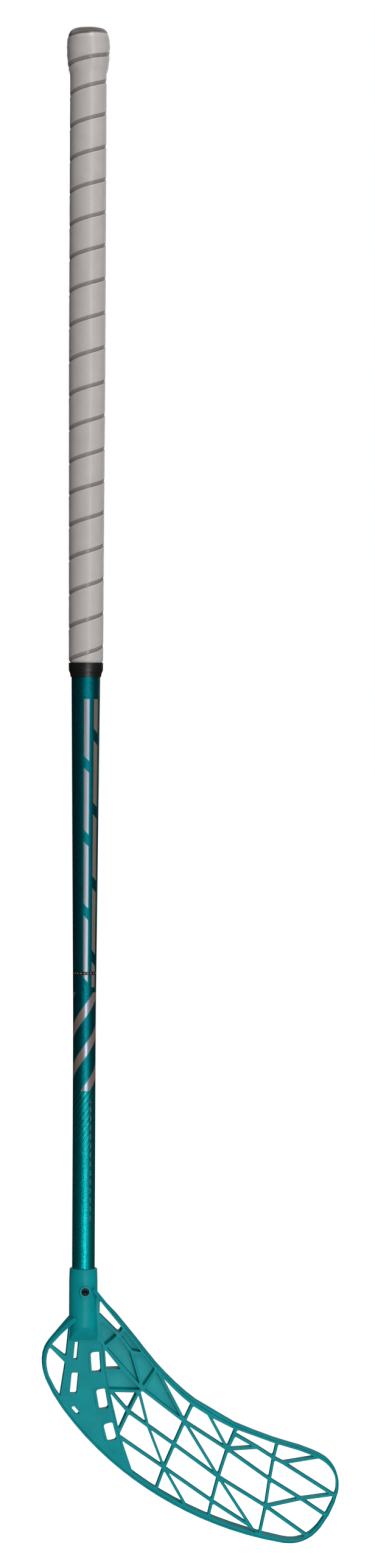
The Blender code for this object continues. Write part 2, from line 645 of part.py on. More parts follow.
def make_end_cap(material):
    """A cup-shaped plug in the bore, and a skirt that thickens the butt to a knob under the tape."""
    bore = shaft_radius(SHAFT_TOP) - SHAFT_WALL - GAP
    seat = SHAFT_TOP + GAP
    profile = [(0.0, 0.0), (CAP_FACE_RADIUS, 0.0)]
    profile += [(radius * MM, z * MM) for z, radius in CAP_SHOULDER + CAP_SKIRT]
    skirt_end = CAP_SKIRT[-1][0] * MM
    profile += [(shaft_radius(skirt_end) + GAP, skirt_end), (shaft_radius(SHAFT_TOP) + GAP, seat), (bore, seat)]
    plug_end = SHAFT_TOP - CAP_PLUG_LENGTH
    profile += [(bore, plug_end + 1 * MM), (bore - 0.5 * MM, plug_end)]
    profile += [(bore - CAP_PLUG_WALL, plug_end), (bore - CAP_PLUG_WALL, seat - 3 * MM), (0.0, seat - 3 * MM)]
    return finish(turned("end_cap", profile, False, model), material)


def under_grip(z):
    """Radius of what the grip is wound on: the cap's skirt, whose taper runs on down to the shaft."""
    (top, wide), (foot, narrow) = CAP_SKIRT
    return max((narrow + (wide - narrow) * (z / MM - foot) / (top - foot)) * MM, shaft_radius(z))


def gap_height(turns):
    """Height of the gap between windings, in turns down from the top one. Over the knob they close up."""
    spare = max(2.0 - turns, 0.0)
    return GRIP_SECOND_GAP + GRIP_PITCH * (2.0 - turns) - GRIP_TIGHTENING * spare**2


def grip_section(turns):
    """Section points (radius, height) of the band, as many turns down from the top gap."""
    high = min(gap_height(turns) - GRIP_TURN_GAP / 2, GRIP_TOP)
    low = max(gap_height(turns + 1.0) + GRIP_TURN_GAP / 2, GRIP_BOTTOM)
    span = high - low
    ridge, bevel = min(0.8 * MM, span * 0.1), min(GRIP_BEVEL, span * 0.25)
    heights = (high, high - ridge, high - 2.5 * ridge, (high + low) / 2, low + bevel, low)
    offsets = (-0.15 * MM, GRIP_RIDGE, 0.0, 0.0, 0.0, -GRIP_BEVEL_DROP)
    outer = [(along(GRIP_SHAPE, z / MM) * MM + offset, z) for z, offset in zip(heights, offsets)]
    inner = [(under_grip(z) + GRIP_UNDER_GAP, z) for z in (low, (high + low) / 2, high)]
    return outer + inner


def make_grip_tape(material):
    """One unbroken band wound down the shaft in a right-hand helix."""
    first, last = -1.1, 2.0 + (GRIP_SECOND_GAP - GRIP_BOTTOM - 2.0 * MM) / GRIP_PITCH
    count = round((last - first) * GRIP_STEPS)
    shape = bmesh.new()
    rings = []
    for step in range(count + 1):
        turns = first + (last - first) * step / count
        angle = math.radians(GRIP_FRONT - 360.0 * turns)
        ring = [shape.verts.new((r * math.cos(angle), r * math.sin(angle), z)) for r, z in grip_section(turns)]
        rings.append(ring)
    size = len(rings[0])
    for ring, following in zip(rings, rings[1:]):
        for i in range(size):
            j = (i + 1) % size
            shape.faces.new((ring[i], following[i], following[j], ring[j]))
    shape.faces.new(rings[0])
    shape.faces.new(list(reversed(rings[-1])))
    bmesh.ops.recalc_face_normals(shape, faces=shape.faces)
    print_least_gap(rings)
    mesh = bpy.data.meshes.new("grip_tape")
    shape.to_mesh(mesh)
    shape.free()
    return finish(new_object("grip_tape", mesh, model), material, 30.0)


def print_least_gap(rings):
    """Measures the band's least distance to its next turn, from the points of both."""
    least = 1.0
    for k in range(len(rings) - GRIP_STEPS):
        for other in rings[k + GRIP_STEPS - 2:k + GRIP_STEPS + 3]:
            least = min(least, min((a.co - b.co).length for a in rings[k] for b in other))
    print(f"grip_tape: least gap between turns {least / MM:.2f} mm")


def make_closing_tape(material):
    """The black band that holds the grip's lower end: half on the grip, half on the shaft."""
    lap = CLOSING_RADIUS - CLOSING_THICKNESS
    foot = shaft_radius(CLOSING_BOTTOM)
    outer = [(CLOSING_RADIUS, CLOSING_TOP), (CLOSING_RADIUS - 0.1 * MM, CLOSING_STEP)]
    outer += [(foot + 1.25 * MM, CLOSING_STEP - 1.9 * MM), (foot + 0.85 * MM, CLOSING_STEP - 3.5 * MM)]
    outer += [(foot + 0.7 * MM, CLOSING_BOTTOM)]
    inner = [(foot + GAP, CLOSING_BOTTOM), (foot + GAP, CLOSING_STEP), (lap, CLOSING_STEP + 0.1 * MM), (lap, CLOSING_TOP)]
    return finish(turned("closing_tape", outer + inner, True, model), material)


def star_outline(radius):
    """Six-lobed drive recess."""
    reaches = [radius * (1.0 if i % 2 else 0.7) for i in range(12)]
    return [(r * math.cos(i * math.pi / 6), r * math.sin(i * math.pi / 6)) for i, r in enumerate(reaches)]


def make_screw(name, side, material):
    """A short self-tapping screw: flat round head with a star recess, and a shank with a pointed end."""
    seat = side * (SCREW_SEAT + GAP)
    top = seat + side * SCREW_HEAD_HEIGHT
    tip = seat - side * SCREW_LENGTH
    taper = tip + side * 2.0 * MM
    rim_radius = SCREW_HEAD_RADIUS * 0.9
    screw = cylinder(name, SCREW_HEAD_RADIUS, (0, seat, SCREW_Z), (0, top, SCREW_Z), model, 24, rim_radius)
    neck = (0, seat + side * 0.5 * MM, SCREW_Z)
    shank = cylinder("shank", SCREW_SHANK_RADIUS, (0, taper, SCREW_Z), neck, cutters, 16)
    screw = combined(screw, shank, "UNION")
    root = (0, taper + side * 0.2 * MM, SCREW_Z)
    point = cylinder("point", SCREW_SHANK_RADIUS * 0.98, root, (0, tip, SCREW_Z), cutters, 16, 0.3 * MM)
    screw = combined(screw, point, "UNION")
    curve = bpy.data.curves.new("star", "CURVE")
    curve.dimensions = "2D"
    curve.fill_mode = "BOTH"
    curve.extrude = 0.7 * MM
    spline = curve.splines.new("POLY")
    spline.points.add(11)
    for place, (x, y) in zip(spline.points, star_outline(1.55 * MM)):
        place.co = (x, y, 0.0, 1.0)
    spline.use_cyclic_u = True
    star = new_object("star", curve, cutters)
    star.rotation_euler = (math.radians(90.0), 0.0, 0.0)
    star.location = (0.0, top, SCREW_Z)
    bpy.context.view_layer.update()
    return finish(combined(screw, baked(star), "DIFFERENCE"), material)


def main():
    clear_scene()
    make_shaft(make_material("lacquered composite", (0.01, 0.16, 0.2), 0.25))
    make_end_cap(make_material("black rubber", (0.02, 0.02, 0.02), 0.7))
    make_grip_tape(make_material("light grey grip foam", (0.5, 0.48, 0.46), 0.8))
    make_closing_tape(make_material("black vinyl", (0.015, 0.015, 0.015), 0.5))
    make_blade(make_material("teal moulded plastic", (0.01, 0.27, 0.28), 0.45))
    steel = make_material("black steel", (0.03, 0.03, 0.03), 0.4, 1.0)
    make_screw("screw_front", -1.0, steel)
    make_screw("screw_rear", 1.0, steel)


main()
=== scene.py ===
"""The looks of a floorball stick: a wound grip, a flake lacquer on the tube and a moulded lattice blade."""
import math

import bmesh
import bpy
from bpy.props import FloatProperty, FloatVectorProperty, PointerProperty
from mathutils import Matrix, Vector
from mathutils.bvhtree import BVHTree


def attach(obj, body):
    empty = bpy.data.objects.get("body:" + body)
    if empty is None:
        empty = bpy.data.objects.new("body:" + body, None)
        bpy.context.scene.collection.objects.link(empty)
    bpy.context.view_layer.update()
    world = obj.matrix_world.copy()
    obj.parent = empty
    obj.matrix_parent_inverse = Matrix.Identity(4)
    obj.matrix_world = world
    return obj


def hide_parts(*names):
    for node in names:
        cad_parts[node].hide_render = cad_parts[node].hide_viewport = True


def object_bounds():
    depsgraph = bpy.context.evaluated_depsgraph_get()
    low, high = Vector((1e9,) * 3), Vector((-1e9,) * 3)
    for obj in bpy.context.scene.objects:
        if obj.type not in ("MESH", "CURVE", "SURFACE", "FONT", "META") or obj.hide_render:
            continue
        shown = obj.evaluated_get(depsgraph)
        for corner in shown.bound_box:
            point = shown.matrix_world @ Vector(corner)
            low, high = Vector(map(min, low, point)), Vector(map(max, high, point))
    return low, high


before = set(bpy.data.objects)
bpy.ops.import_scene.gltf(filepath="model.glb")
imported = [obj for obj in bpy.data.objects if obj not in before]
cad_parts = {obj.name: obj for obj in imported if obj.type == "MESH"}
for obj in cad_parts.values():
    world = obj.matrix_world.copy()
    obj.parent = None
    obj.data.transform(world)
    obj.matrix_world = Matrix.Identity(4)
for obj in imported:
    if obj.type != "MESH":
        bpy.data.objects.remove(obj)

CAD_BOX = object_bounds()
BODY = "root"

bl_info = {
    "name": "Floorball Stick",
    "version": (1, 0, 0),
    "blender": (4, 5, 0),
    "location": "View3D > Sidebar > Stick",
    "description": "Finishes a floorball stick: grip winding, lacquered tube, moulded blade and studio",
    "category": "Add Mesh",
}

MM = 0.001
MATH = "ShaderNodeMath"
VECTOR_MATH = "ShaderNodeVectorMath"
MAP_RANGE = "ShaderNodeMapRange"
MIX = "ShaderNodeMix"
NOISE = "ShaderNodeTexNoise"
COORDINATES = "ShaderNodeTexCoord"
COMBINE = "ShaderNodeCombineXYZ"
SEPARATE = "ShaderNodeSeparateXYZ"

# Places on the stick, as heights along it (the butt face is at 0)
KNOB_FOOT = -36.0 * MM
PRINT_TOP = -519.0 * MM
PRINT_TURN = -742.0 * MM
BANDS_TOP = PRINT_TURN - 4.0 * MM
BANDS_END = -822.0 * MM
HAIRLINES_END = -872.0 * MM
DASHES_TOP = BANDS_END - 8.0 * MM
DASHES_END = -925.0 * MM
RING_HEIGHT = -731.1 * MM
# Heights over which the lacquer's painted light brightens from its shaded upper colour to its lit lower
# colour
PAINTED_LIGHT_FADE = (-760.0 * MM, -950.0 * MM)

# The print on the tube: the tube's mean radius, how far slanted lines drop per distance round to the right,
# then for each kind of line its spacing and half its width, as a share of the spacing
TUBE_RADIUS = 11.0 * MM
LINE_SLANT = -1.1
BAR_PITCH, BAR_SHARE, BAR_SLANT = 57.0 * MM, 0.42, 0.9
BAND_PITCH, BAND_SHARE = 31.0 * MM, 0.17
DASH_PITCH, DASH_SHARE = 7.0 * MM, 0.28
HAIRLINE_PITCH, HAIRLINE_SHARES = 5.4 * MM, (0.07, 0.03)
# Each rail of bars: how far round the tube its middle is, and how far its bars are moved down
BAR_RAILS = ((-0.6 * MM, 0.0), (7.6 * MM, 28.5 * MM))
RAIL_HALF_WIDTH = 2.2 * MM
DASH_COLUMN, DASH_HALF_WIDTH = 5.4 * MM, 0.45 * MM
# The ring's half width, the half height of its dots, how many there are, and the half width of each as a
# share of their spacing
RING_HALF_WIDTH, DOT_HALF_HEIGHT = 1.25 * MM, 0.55 * MM
DOTS_ROUND, DOT_SHARE = 21.0, 0.16
# Range of the slopes at which paint flakes lie, half of it either way
FLAKE_TILT = 0.36

# The winding over the knob, in millimetres: place along its outline (up the side and then in over the
# butt), height and radius
KNOB_OUTLINE = (
    (3.6, 0.35, 10.0), (2.3, 0.3, 11.2), (1.0, -0.1, 12.4), (-0.4, -0.9, 13.4), (-2.4, -2.3, 14.4),
    (-3.4, -3.4, 15.0), (-4.8, -4.8, 15.55), (-6.6, -6.6, 16.05), (-9.5, -9.5, 16.5), (-19.5, -19.5, 16.5),
    (-26.6, -26.6, 15.95), (-31.3, -31.3, 15.05), (-34.0, -34.0, 14.25), (-36.0, -36.0, 14.15),
)
# How far the hand-wound edges lie above an even pitch, by turn, in millimetres
GRIP_UNEVEN = (
    (-2.0, 0.0), (0.0, -0.6), (1.0, -1.5), (2.0, 0.0), (4.0, 0.5), (7.0, 1.4), (9.0, 0.5), (11.0, -1.4),
    (13.0, -2.2), (15.0, 0.0), (16.5, -0.1), (18.0, -1.3), (20.0, 0.0),
)
# Where the winding narrows below the knob: height and radius at each end, in millimetres
GRIP_TAPER = ((-260.0, 14.15), (-489.3, 13.25))
GRIP_END = ((-489.3, 13.25), (-490.2, 12.45))
# What the curves are drawn between: unevenness, radius, and height less the place along the outline
UNEVEN_RANGE, RADIUS_RANGE, RISE_RANGE = (-3.0 * MM, 2.0 * MM), (9.0 * MM, 17.0 * MM), (-4.0 * MM, 1.0 * MM)
# The first turn is nearly level. Over these turns it passes into the winding, and its edge gets thin.
RUNS_DOWN, THINS_OUT = (0.3, 0.75), (-0.7, -0.25)
# At its start the tape reaches in over the butt: its edge lies so much higher, and sinks over these turns
TUCKED_IN, TUCK_RISE = (-0.9, -0.5), 12.0 * MM
# Height of the fold over the butt, and how far it leans from that either way
FOLD_HEIGHT, FOLD_LEAN = -5.1 * MM, 1.4 * MM
# The soft wrinkles: their depth and size, and the radius on which they are laid out
WRINKLE_DEPTH, WRINKLE_SIZE, WRINKLE_RADIUS = 0.3 * MM, 15.0 * MM, 16.0 * MM
# Steps along a turn, and rows of corners across the tape
STEPS_PER_TURN, ROWS_ACROSS = 60.0, 23

# Corners closer than this, in metres, are one: in a plain copy of a CAD node, in the rounded one and in the
# winding
WELD, ROUNDED_WELD, WOUND_WELD = 2e-6, 0.05 * MM, 1e-7
# Shading stays sharp at edges of more than so many degrees
PLAIN_SHARP, SCREW_SHARP, WOUND_SHARP, ROUNDED_SHARP = 35.0, 30.0, 50.0, 60.0
# Edges of more than so many degrees are rounded, but not by narrow faces or at the ends of long slivers
EDGE_ANGLE, NARROW_FACE, LONG_SLIVER = 32.0, 0.12 * MM, 30.0 * MM
# A rounded corner is laid back if it strays from the CAD surface by more than this share of the radius
STRAY_SHARE = 0.6
# A pocket's floor faces the front, and a little above it walls stand near on at least 11 of 12 sides
POCKET_CLEARANCE, POCKET_REACH = 1.2 * MM, 32.0 * MM
POCKET_SIDES, POCKET_WALLS, POCKET_FACING = 12, 11, -0.7

# The floor's width in metres, and the brightness that only the camera and reflections see
FLOOR_WIDTH, FLOOR_LIFT = 80.0, 0.86
# The dark screen round the stick: where it starts, ends and stops being low, in degrees from the front, its
# radius, and how far its rim is above the stick's middle, in metres
SCREEN_START, SCREEN_END, SCREEN_LOW_END, SCREEN_STEP = -235, 125, -165, 5
SCREEN_RADIUS, SCREEN_RISE, SCREEN_LOW_RISE = 2.3, 1.9, 0.2


def linear(hex_color):
    """The linear colour of an sRGB hex value such as 1f9090."""
    parts = [int(hex_color[i:i + 2], 16) / 255 for i in (0, 2, 4)]
    return tuple(p / 12.92 if p <= 0.04045 else ((p + 0.055) / 1.055) ** 2.4 for p in parts)


class StickGripSettings(bpy.types.PropertyGroup):
    """Sizes and colours of the wound grip"""
    tape_color: FloatVectorProperty(
        name="Tape", description="Colour of the grip film", subtype="COLOR", default=linear("beb8b6"))
    edge_color: FloatVectorProperty(
        name="Tape edge", description="Colour of the thinned edge", subtype="COLOR", default=linear("8d8581"))
    # The fold's colour also paints the shadow at the foot of each edge
    fold_and_shadow_color: FloatVectorProperty(
        name="Butt fold", description="Colour of the edge folded over the butt", subtype="COLOR",
        default=linear("453b38"))
    # Colour of the paler streaks that noise lays across the dark butt fold
    pale_streak_color: FloatVectorProperty(
        name="Fold creases", description="Colour of the creases in the butt fold", subtype="COLOR",
        default=linear("8a8079"))
    # The lip's pale colour is a painted highlight on the raised lip under each edge
    lip_highlight_color: FloatVectorProperty(
        name="Lip", description="Colour of the pale lip under each edge", subtype="COLOR",
        default=linear("d8d2cf"))
    pitch: FloatProperty(
        name="Pitch", description="Distance from turn to turn", unit="LENGTH", default=25.7 * MM)
    second_edge: FloatProperty(
        name="Second edge", description="Height of the second visible edge", unit="LENGTH",
        default=-47.0 * MM)
    tightening: FloatProperty(
        name="Tightening", description="How the turns close up over the knob", unit="LENGTH",
        default=2.7 * MM)
    first_turn: FloatProperty(name="First turn", description="Where the tape starts, in turns", default=-1.92)
    turns: FloatProperty(name="Turns", description="How many times the tape goes round", default=21.27)
    edge_angle: FloatProperty(
        name="Edge angle", description="Where round the tube an edge has its stated height", subtype="ANGLE",
        default=math.radians(260.8))
    bottom: FloatProperty(
        name="Bottom", description="Lowest point of the tape", unit="LENGTH", default=-496.4 * MM)
    edge_width: FloatProperty(
        name="Edge width", description="Width of the thinned edge", unit="LENGTH", default=3.3 * MM)
    edge_drop: FloatProperty(
        name="Edge drop", description="How far the thinned edge drops", unit="LENGTH", default=0.55 * MM)
    wall: FloatProperty(
        name="Thickness", description="Thickness of the tape", unit="LENGTH", default=0.9 * MM)


class StickTubeSettings(bpy.types.PropertyGroup):
    """Colours of the tube's lacquer and print"""
    # Lit and shaded copies of the lacquer: painted light that makes the tube brighter towards the blade
    lit_lower_color: FloatVectorProperty(
        name="Lower lacquer", description="Flakes near the blade", subtype="COLOR", default=linear("00d7dc"))
    shaded_upper_color: FloatVectorProperty(
        name="Upper lacquer", description="Flakes below the grip", subtype="COLOR", default=linear("007e8a"))
    deep_color: FloatVectorProperty(
        name="Deep lacquer", description="Colour between the flakes", subtype="COLOR",
        default=linear("006670"))
    hairline_color: FloatVectorProperty(
        name="Hairlines", description="Colour of the fine slanted lines", subtype="COLOR",
        default=linear("3fd0bc"))
    # The foil's two colours are a painted reflection, cool where it faces forwards and warm towards the sides
    foil_front_reflection: FloatVectorProperty(
        name="Cool foil", description="Foil where it faces forwards", subtype="COLOR",
        default=linear("a4aec0"))
    foil_side_reflection: FloatVectorProperty(
        name="Warm foil", description="Foil towards the sides", subtype="COLOR", default=linear("b5a294"))
    ring_color: FloatVectorProperty(
        name="Ring", description="Colour of the printed ring", subtype="COLOR", default=linear("121110"))
    dot_color: FloatVectorProperty(
        name="Dots", description="Colour of the ring's dots", subtype="COLOR", default=linear("8d8a87"))
    flake_size: FloatProperty(
        name="Flake size", description="Distance between paint flakes", unit="LENGTH", default=0.25 * MM)


class StickBladeSettings(bpy.types.PropertyGroup):
    """Colours and edges of the moulded blade"""
    plastic_color: FloatVectorProperty(
        name="Plastic", description="Colour of the moulded plastic", subtype="COLOR",
        default=linear("008f95"))
    # The paler pocket floors are painted light, not a different plastic
    lit_floor_color: FloatVectorProperty(
        name="Pocket floors", description="Colour of the paler pocket floors", subtype="COLOR",
        default=linear("22a5aa"))
    edge_radius: FloatProperty(
        name="Edge radius", description="Rounding of the moulded edges", unit="LENGTH", default=0.16 * MM)
    spark_size: FloatProperty(
        name="Spark texture", description="Size of the mould's fine texture", unit="LENGTH",
        default=0.35 * MM)


class StickTrimSettings(bpy.types.PropertyGroup):
    """Colours of the cap, the band and the screws"""
    rubber_color: FloatVectorProperty(
        name="Rubber", description="Colour of the butt cap", subtype="COLOR", default=linear("2b2625"))
    vinyl_color: FloatVectorProperty(
        name="Vinyl", description="Colour of the band below the grip", subtype="COLOR",
        default=linear("171615"))
    steel_color: FloatVectorProperty(
        name="Oxide", description="Darkest colour of the screws", subtype="COLOR", default=linear("141415"))
    bare_color: FloatVectorProperty(
        name="Thin oxide", description="Palest colour of the screws", subtype="COLOR",
        default=linear("3a393b"))


class StickStageSettings(bpy.types.PropertyGroup):
    """The floor's place and the lights"""
    floor_drop: FloatProperty(
        name="Floor drop", description="Floor below the stick's lowest point", unit="LENGTH", default=0.35)
    ambient: FloatProperty(name="Ambient", description="Strength of the soft light all round", default=0.22)
    key_power: FloatProperty(name="Key", description="Tall front light", unit="POWER", default=16.0)
    low_power: FloatProperty(name="Low key", description="Low front light", unit="POWER", default=17.0)
    top_power: FloatProperty(name="Top", description="High front light", unit="POWER", default=1.8)
    back_power: FloatProperty(name="Back", description="Light behind the stick", unit="POWER", default=26.0)


def add(tree, kind, *values, **settings):
    """Adds a node. Its settings are set first, then its inputs in order: a number, a socket, a node or
    None."""
    node = tree.nodes.new(kind)
    for name, value in settings.items():
        setattr(node, name, value)
    sockets = [socket for socket in node.inputs if socket.enabled]
    for socket, value in zip(sockets, values):
        if isinstance(value, bpy.types.Node):
            value = next(output for output in value.outputs if output.enabled)
        if isinstance(value, bpy.types.NodeSocket):
            tree.links.new(value, socket)
        elif value is not None:
            socket.default_value = value
    return node


def feed(tree, node, **sources):
    """Links the first result of each source to the socket of a node that it is named for."""
    for socket, source in sources.items():
        result = next(output for output in source.outputs if output.enabled)
        tree.links.new(result, node.inputs[socket.replace("_", " ")])


def new_material(name, **values):
    """A material with a Principled shader, its named sockets set, and the tree and shader to build on."""
    material = bpy.data.materials.new(name)
    material.use_nodes = True
    tree = material.node_tree
    shader = tree.nodes["Principled BSDF"]
    for socket, value in values.items():
        value = (*value, 1.0) if isinstance(value, tuple) and len(value) == 3 else value
        shader.inputs[socket.replace("_", " ")].default_value = value
    return material, tree, shader


def geometry_tree(name, inputs):
    """A geometry tree with named inputs, and the sockets that give them."""
    tree = bpy.data.node_groups.new(name, "GeometryNodeTree")
    tree.interface.new_socket("Geometry", in_out="OUTPUT", socket_type="NodeSocketGeometry")
    for label, value in inputs.items():
        kind = "NodeSocketMaterial" if isinstance(value, bpy.types.Material) else "NodeSocketFloat"
        kind = "NodeSocketInt" if isinstance(value, int) else kind
        tree.interface.new_socket(label, in_out="INPUT", socket_type=kind)
    given = tree.nodes.new("NodeGroupInput").outputs
    return tree, given


def grown(name, tree, inputs):
    """The tree's result as a plain mesh object with every face pointing outwards."""
    holder = bpy.data.objects.new(name + "_source", bpy.data.meshes.new(name))
    bpy.context.scene.collection.objects.link(holder)
    modifier = holder.modifiers.new("shape", "NODES")
    modifier.node_group = tree
    for item in tree.interface.items_tree:
        if item.in_out == "INPUT":
            modifier[item.identifier] = inputs[item.name]
    graph = bpy.context.evaluated_depsgraph_get()
    mesh = bpy.data.meshes.new_from_object(holder.evaluated_get(graph))
    bpy.data.objects.remove(holder)
    shape = bmesh.new()
    shape.from_mesh(mesh)
    bmesh.ops.remove_doubles(shape, verts=shape.verts, dist=WOUND_WELD)
    bmesh.ops.recalc_face_normals(shape, faces=shape.faces)
    shape.to_mesh(mesh)
    shape.free()
    return placed(name, mesh)


def placed(name, data):
    """An object with a mesh, lamp or camera, put into the scene."""
    piece = bpy.data.objects.new(name, data)
    bpy.context.scene.collection.objects.link(piece)
    return piece


def built(name, shape):
    """A piece with a shape as its mesh."""
    mesh = bpy.data.meshes.new(name)
    shape.to_mesh(mesh)
    shape.free()
    return placed(name, mesh)


def smooth_copy(node, name, angle):
    """A copy of a CAD node with its loose triangles joined and its round faces shaded smooth."""
    shape = bmesh.new()
    shape.from_mesh(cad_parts[node].data)
    bmesh.ops.remove_doubles(shape, verts=shape.verts, dist=WELD)
    piece = built(name, shape)
    piece.data.shade_smooth()
    piece.data.set_sharp_from_angle(angle=math.radians(angle))
    return piece


def rounded_copy(node, name, radius):
    """A copy of a CAD node with its edges rounded, apart from those by narrow faces and slivers. Where the
    rounding strays from the CAD surface, it is laid back onto it."""
    shape = bmesh.new()
    shape.from_mesh(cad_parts[node].data)
    bmesh.ops.remove_doubles(shape, verts=shape.verts, dist=ROUNDED_WELD)
    bmesh.ops.dissolve_degenerate(shape, dist=ROUNDED_WELD, edges=shape.edges)
    surface = BVHTree.FromBMesh(shape)
    weights = shape.edges.layers.float.new("bevel_weight_edge")
    length = {face: max(edge.calc_length() for edge in face.edges) for face in shape.faces}
    height = {face: 2.0 * face.calc_area() / length[face] for face in shape.faces}
    slivers = [face for face in shape.faces if height[face] < 2.0 * radius and length[face] > LONG_SLIVER]
    kept = {corner for face in slivers for corner in face.verts}
    for edge in shape.edges:
        if len(edge.link_faces) == 2 and edge.calc_face_angle() > math.radians(EDGE_ANGLE):
            wide = min(height[face] for face in edge.link_faces) > NARROW_FACE
            edge[weights] = float(wide and not kept.intersection(edge.verts))
    source = built(name, shape)
    bevel = source.modifiers.new("edges", "BEVEL")
    bevel.width, bevel.segments = radius, 2
    bevel.limit_method = "WEIGHT"
    bevel.use_clamp_overlap = False
    graph = bpy.context.evaluated_depsgraph_get()
    rounded = bpy.data.meshes.new_from_object(source.evaluated_get(graph))
    bpy.data.objects.remove(source)
    for vertex in rounded.vertices:
        nearest, _, _, distance = surface.find_nearest(vertex.co)
        if distance > radius * STRAY_SHARE:
            vertex.co = nearest
    rounded.shade_smooth()
    rounded.set_sharp_from_angle(angle=math.radians(ROUNDED_SHARP))
    piece = placed(name, rounded)
    flats = piece.modifiers.new("flats", "WEIGHTED_NORMAL")
    flats.keep_sharp = True
    return piece


def mark_pocket_floors(piece):
    """Marks the faces towards the front that have walls nearly all round: the floors of the blind pockets,
    which the plastic paints paler as painted light.
    """
    mesh = piece.data
    corners = [vertex.co for vertex in mesh.vertices]
    walls = BVHTree.FromPolygons(corners, [face.vertices for face in mesh.polygons])
    angles = [turn * math.tau / POCKET_SIDES for turn in range(POCKET_SIDES)]
    sides = [Vector((math.cos(angle), 0.0, math.sin(angle))) for angle in angles]
    marked = mesh.attributes.new("lit_pocket_floor", "FLOAT", "FACE").data
    for face in mesh.polygons:
        above = face.center + Vector((0.0, -POCKET_CLEARANCE, 0.0))
        hits = sum(walls.ray_cast(above, side, POCKET_REACH)[0] is not None for side in sides)
        marked[face.index].value = float(face.normal.y < POCKET_FACING and hits >= POCKET_WALLS)


def seat(piece, material, slot, *nodes):
    """Gives a finished piece its material and its place in the frame."""
    if material is not None:
        piece.data.materials.clear()
        piece.data.materials.append(material)
    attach(piece, BODY)
    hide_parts(*nodes)


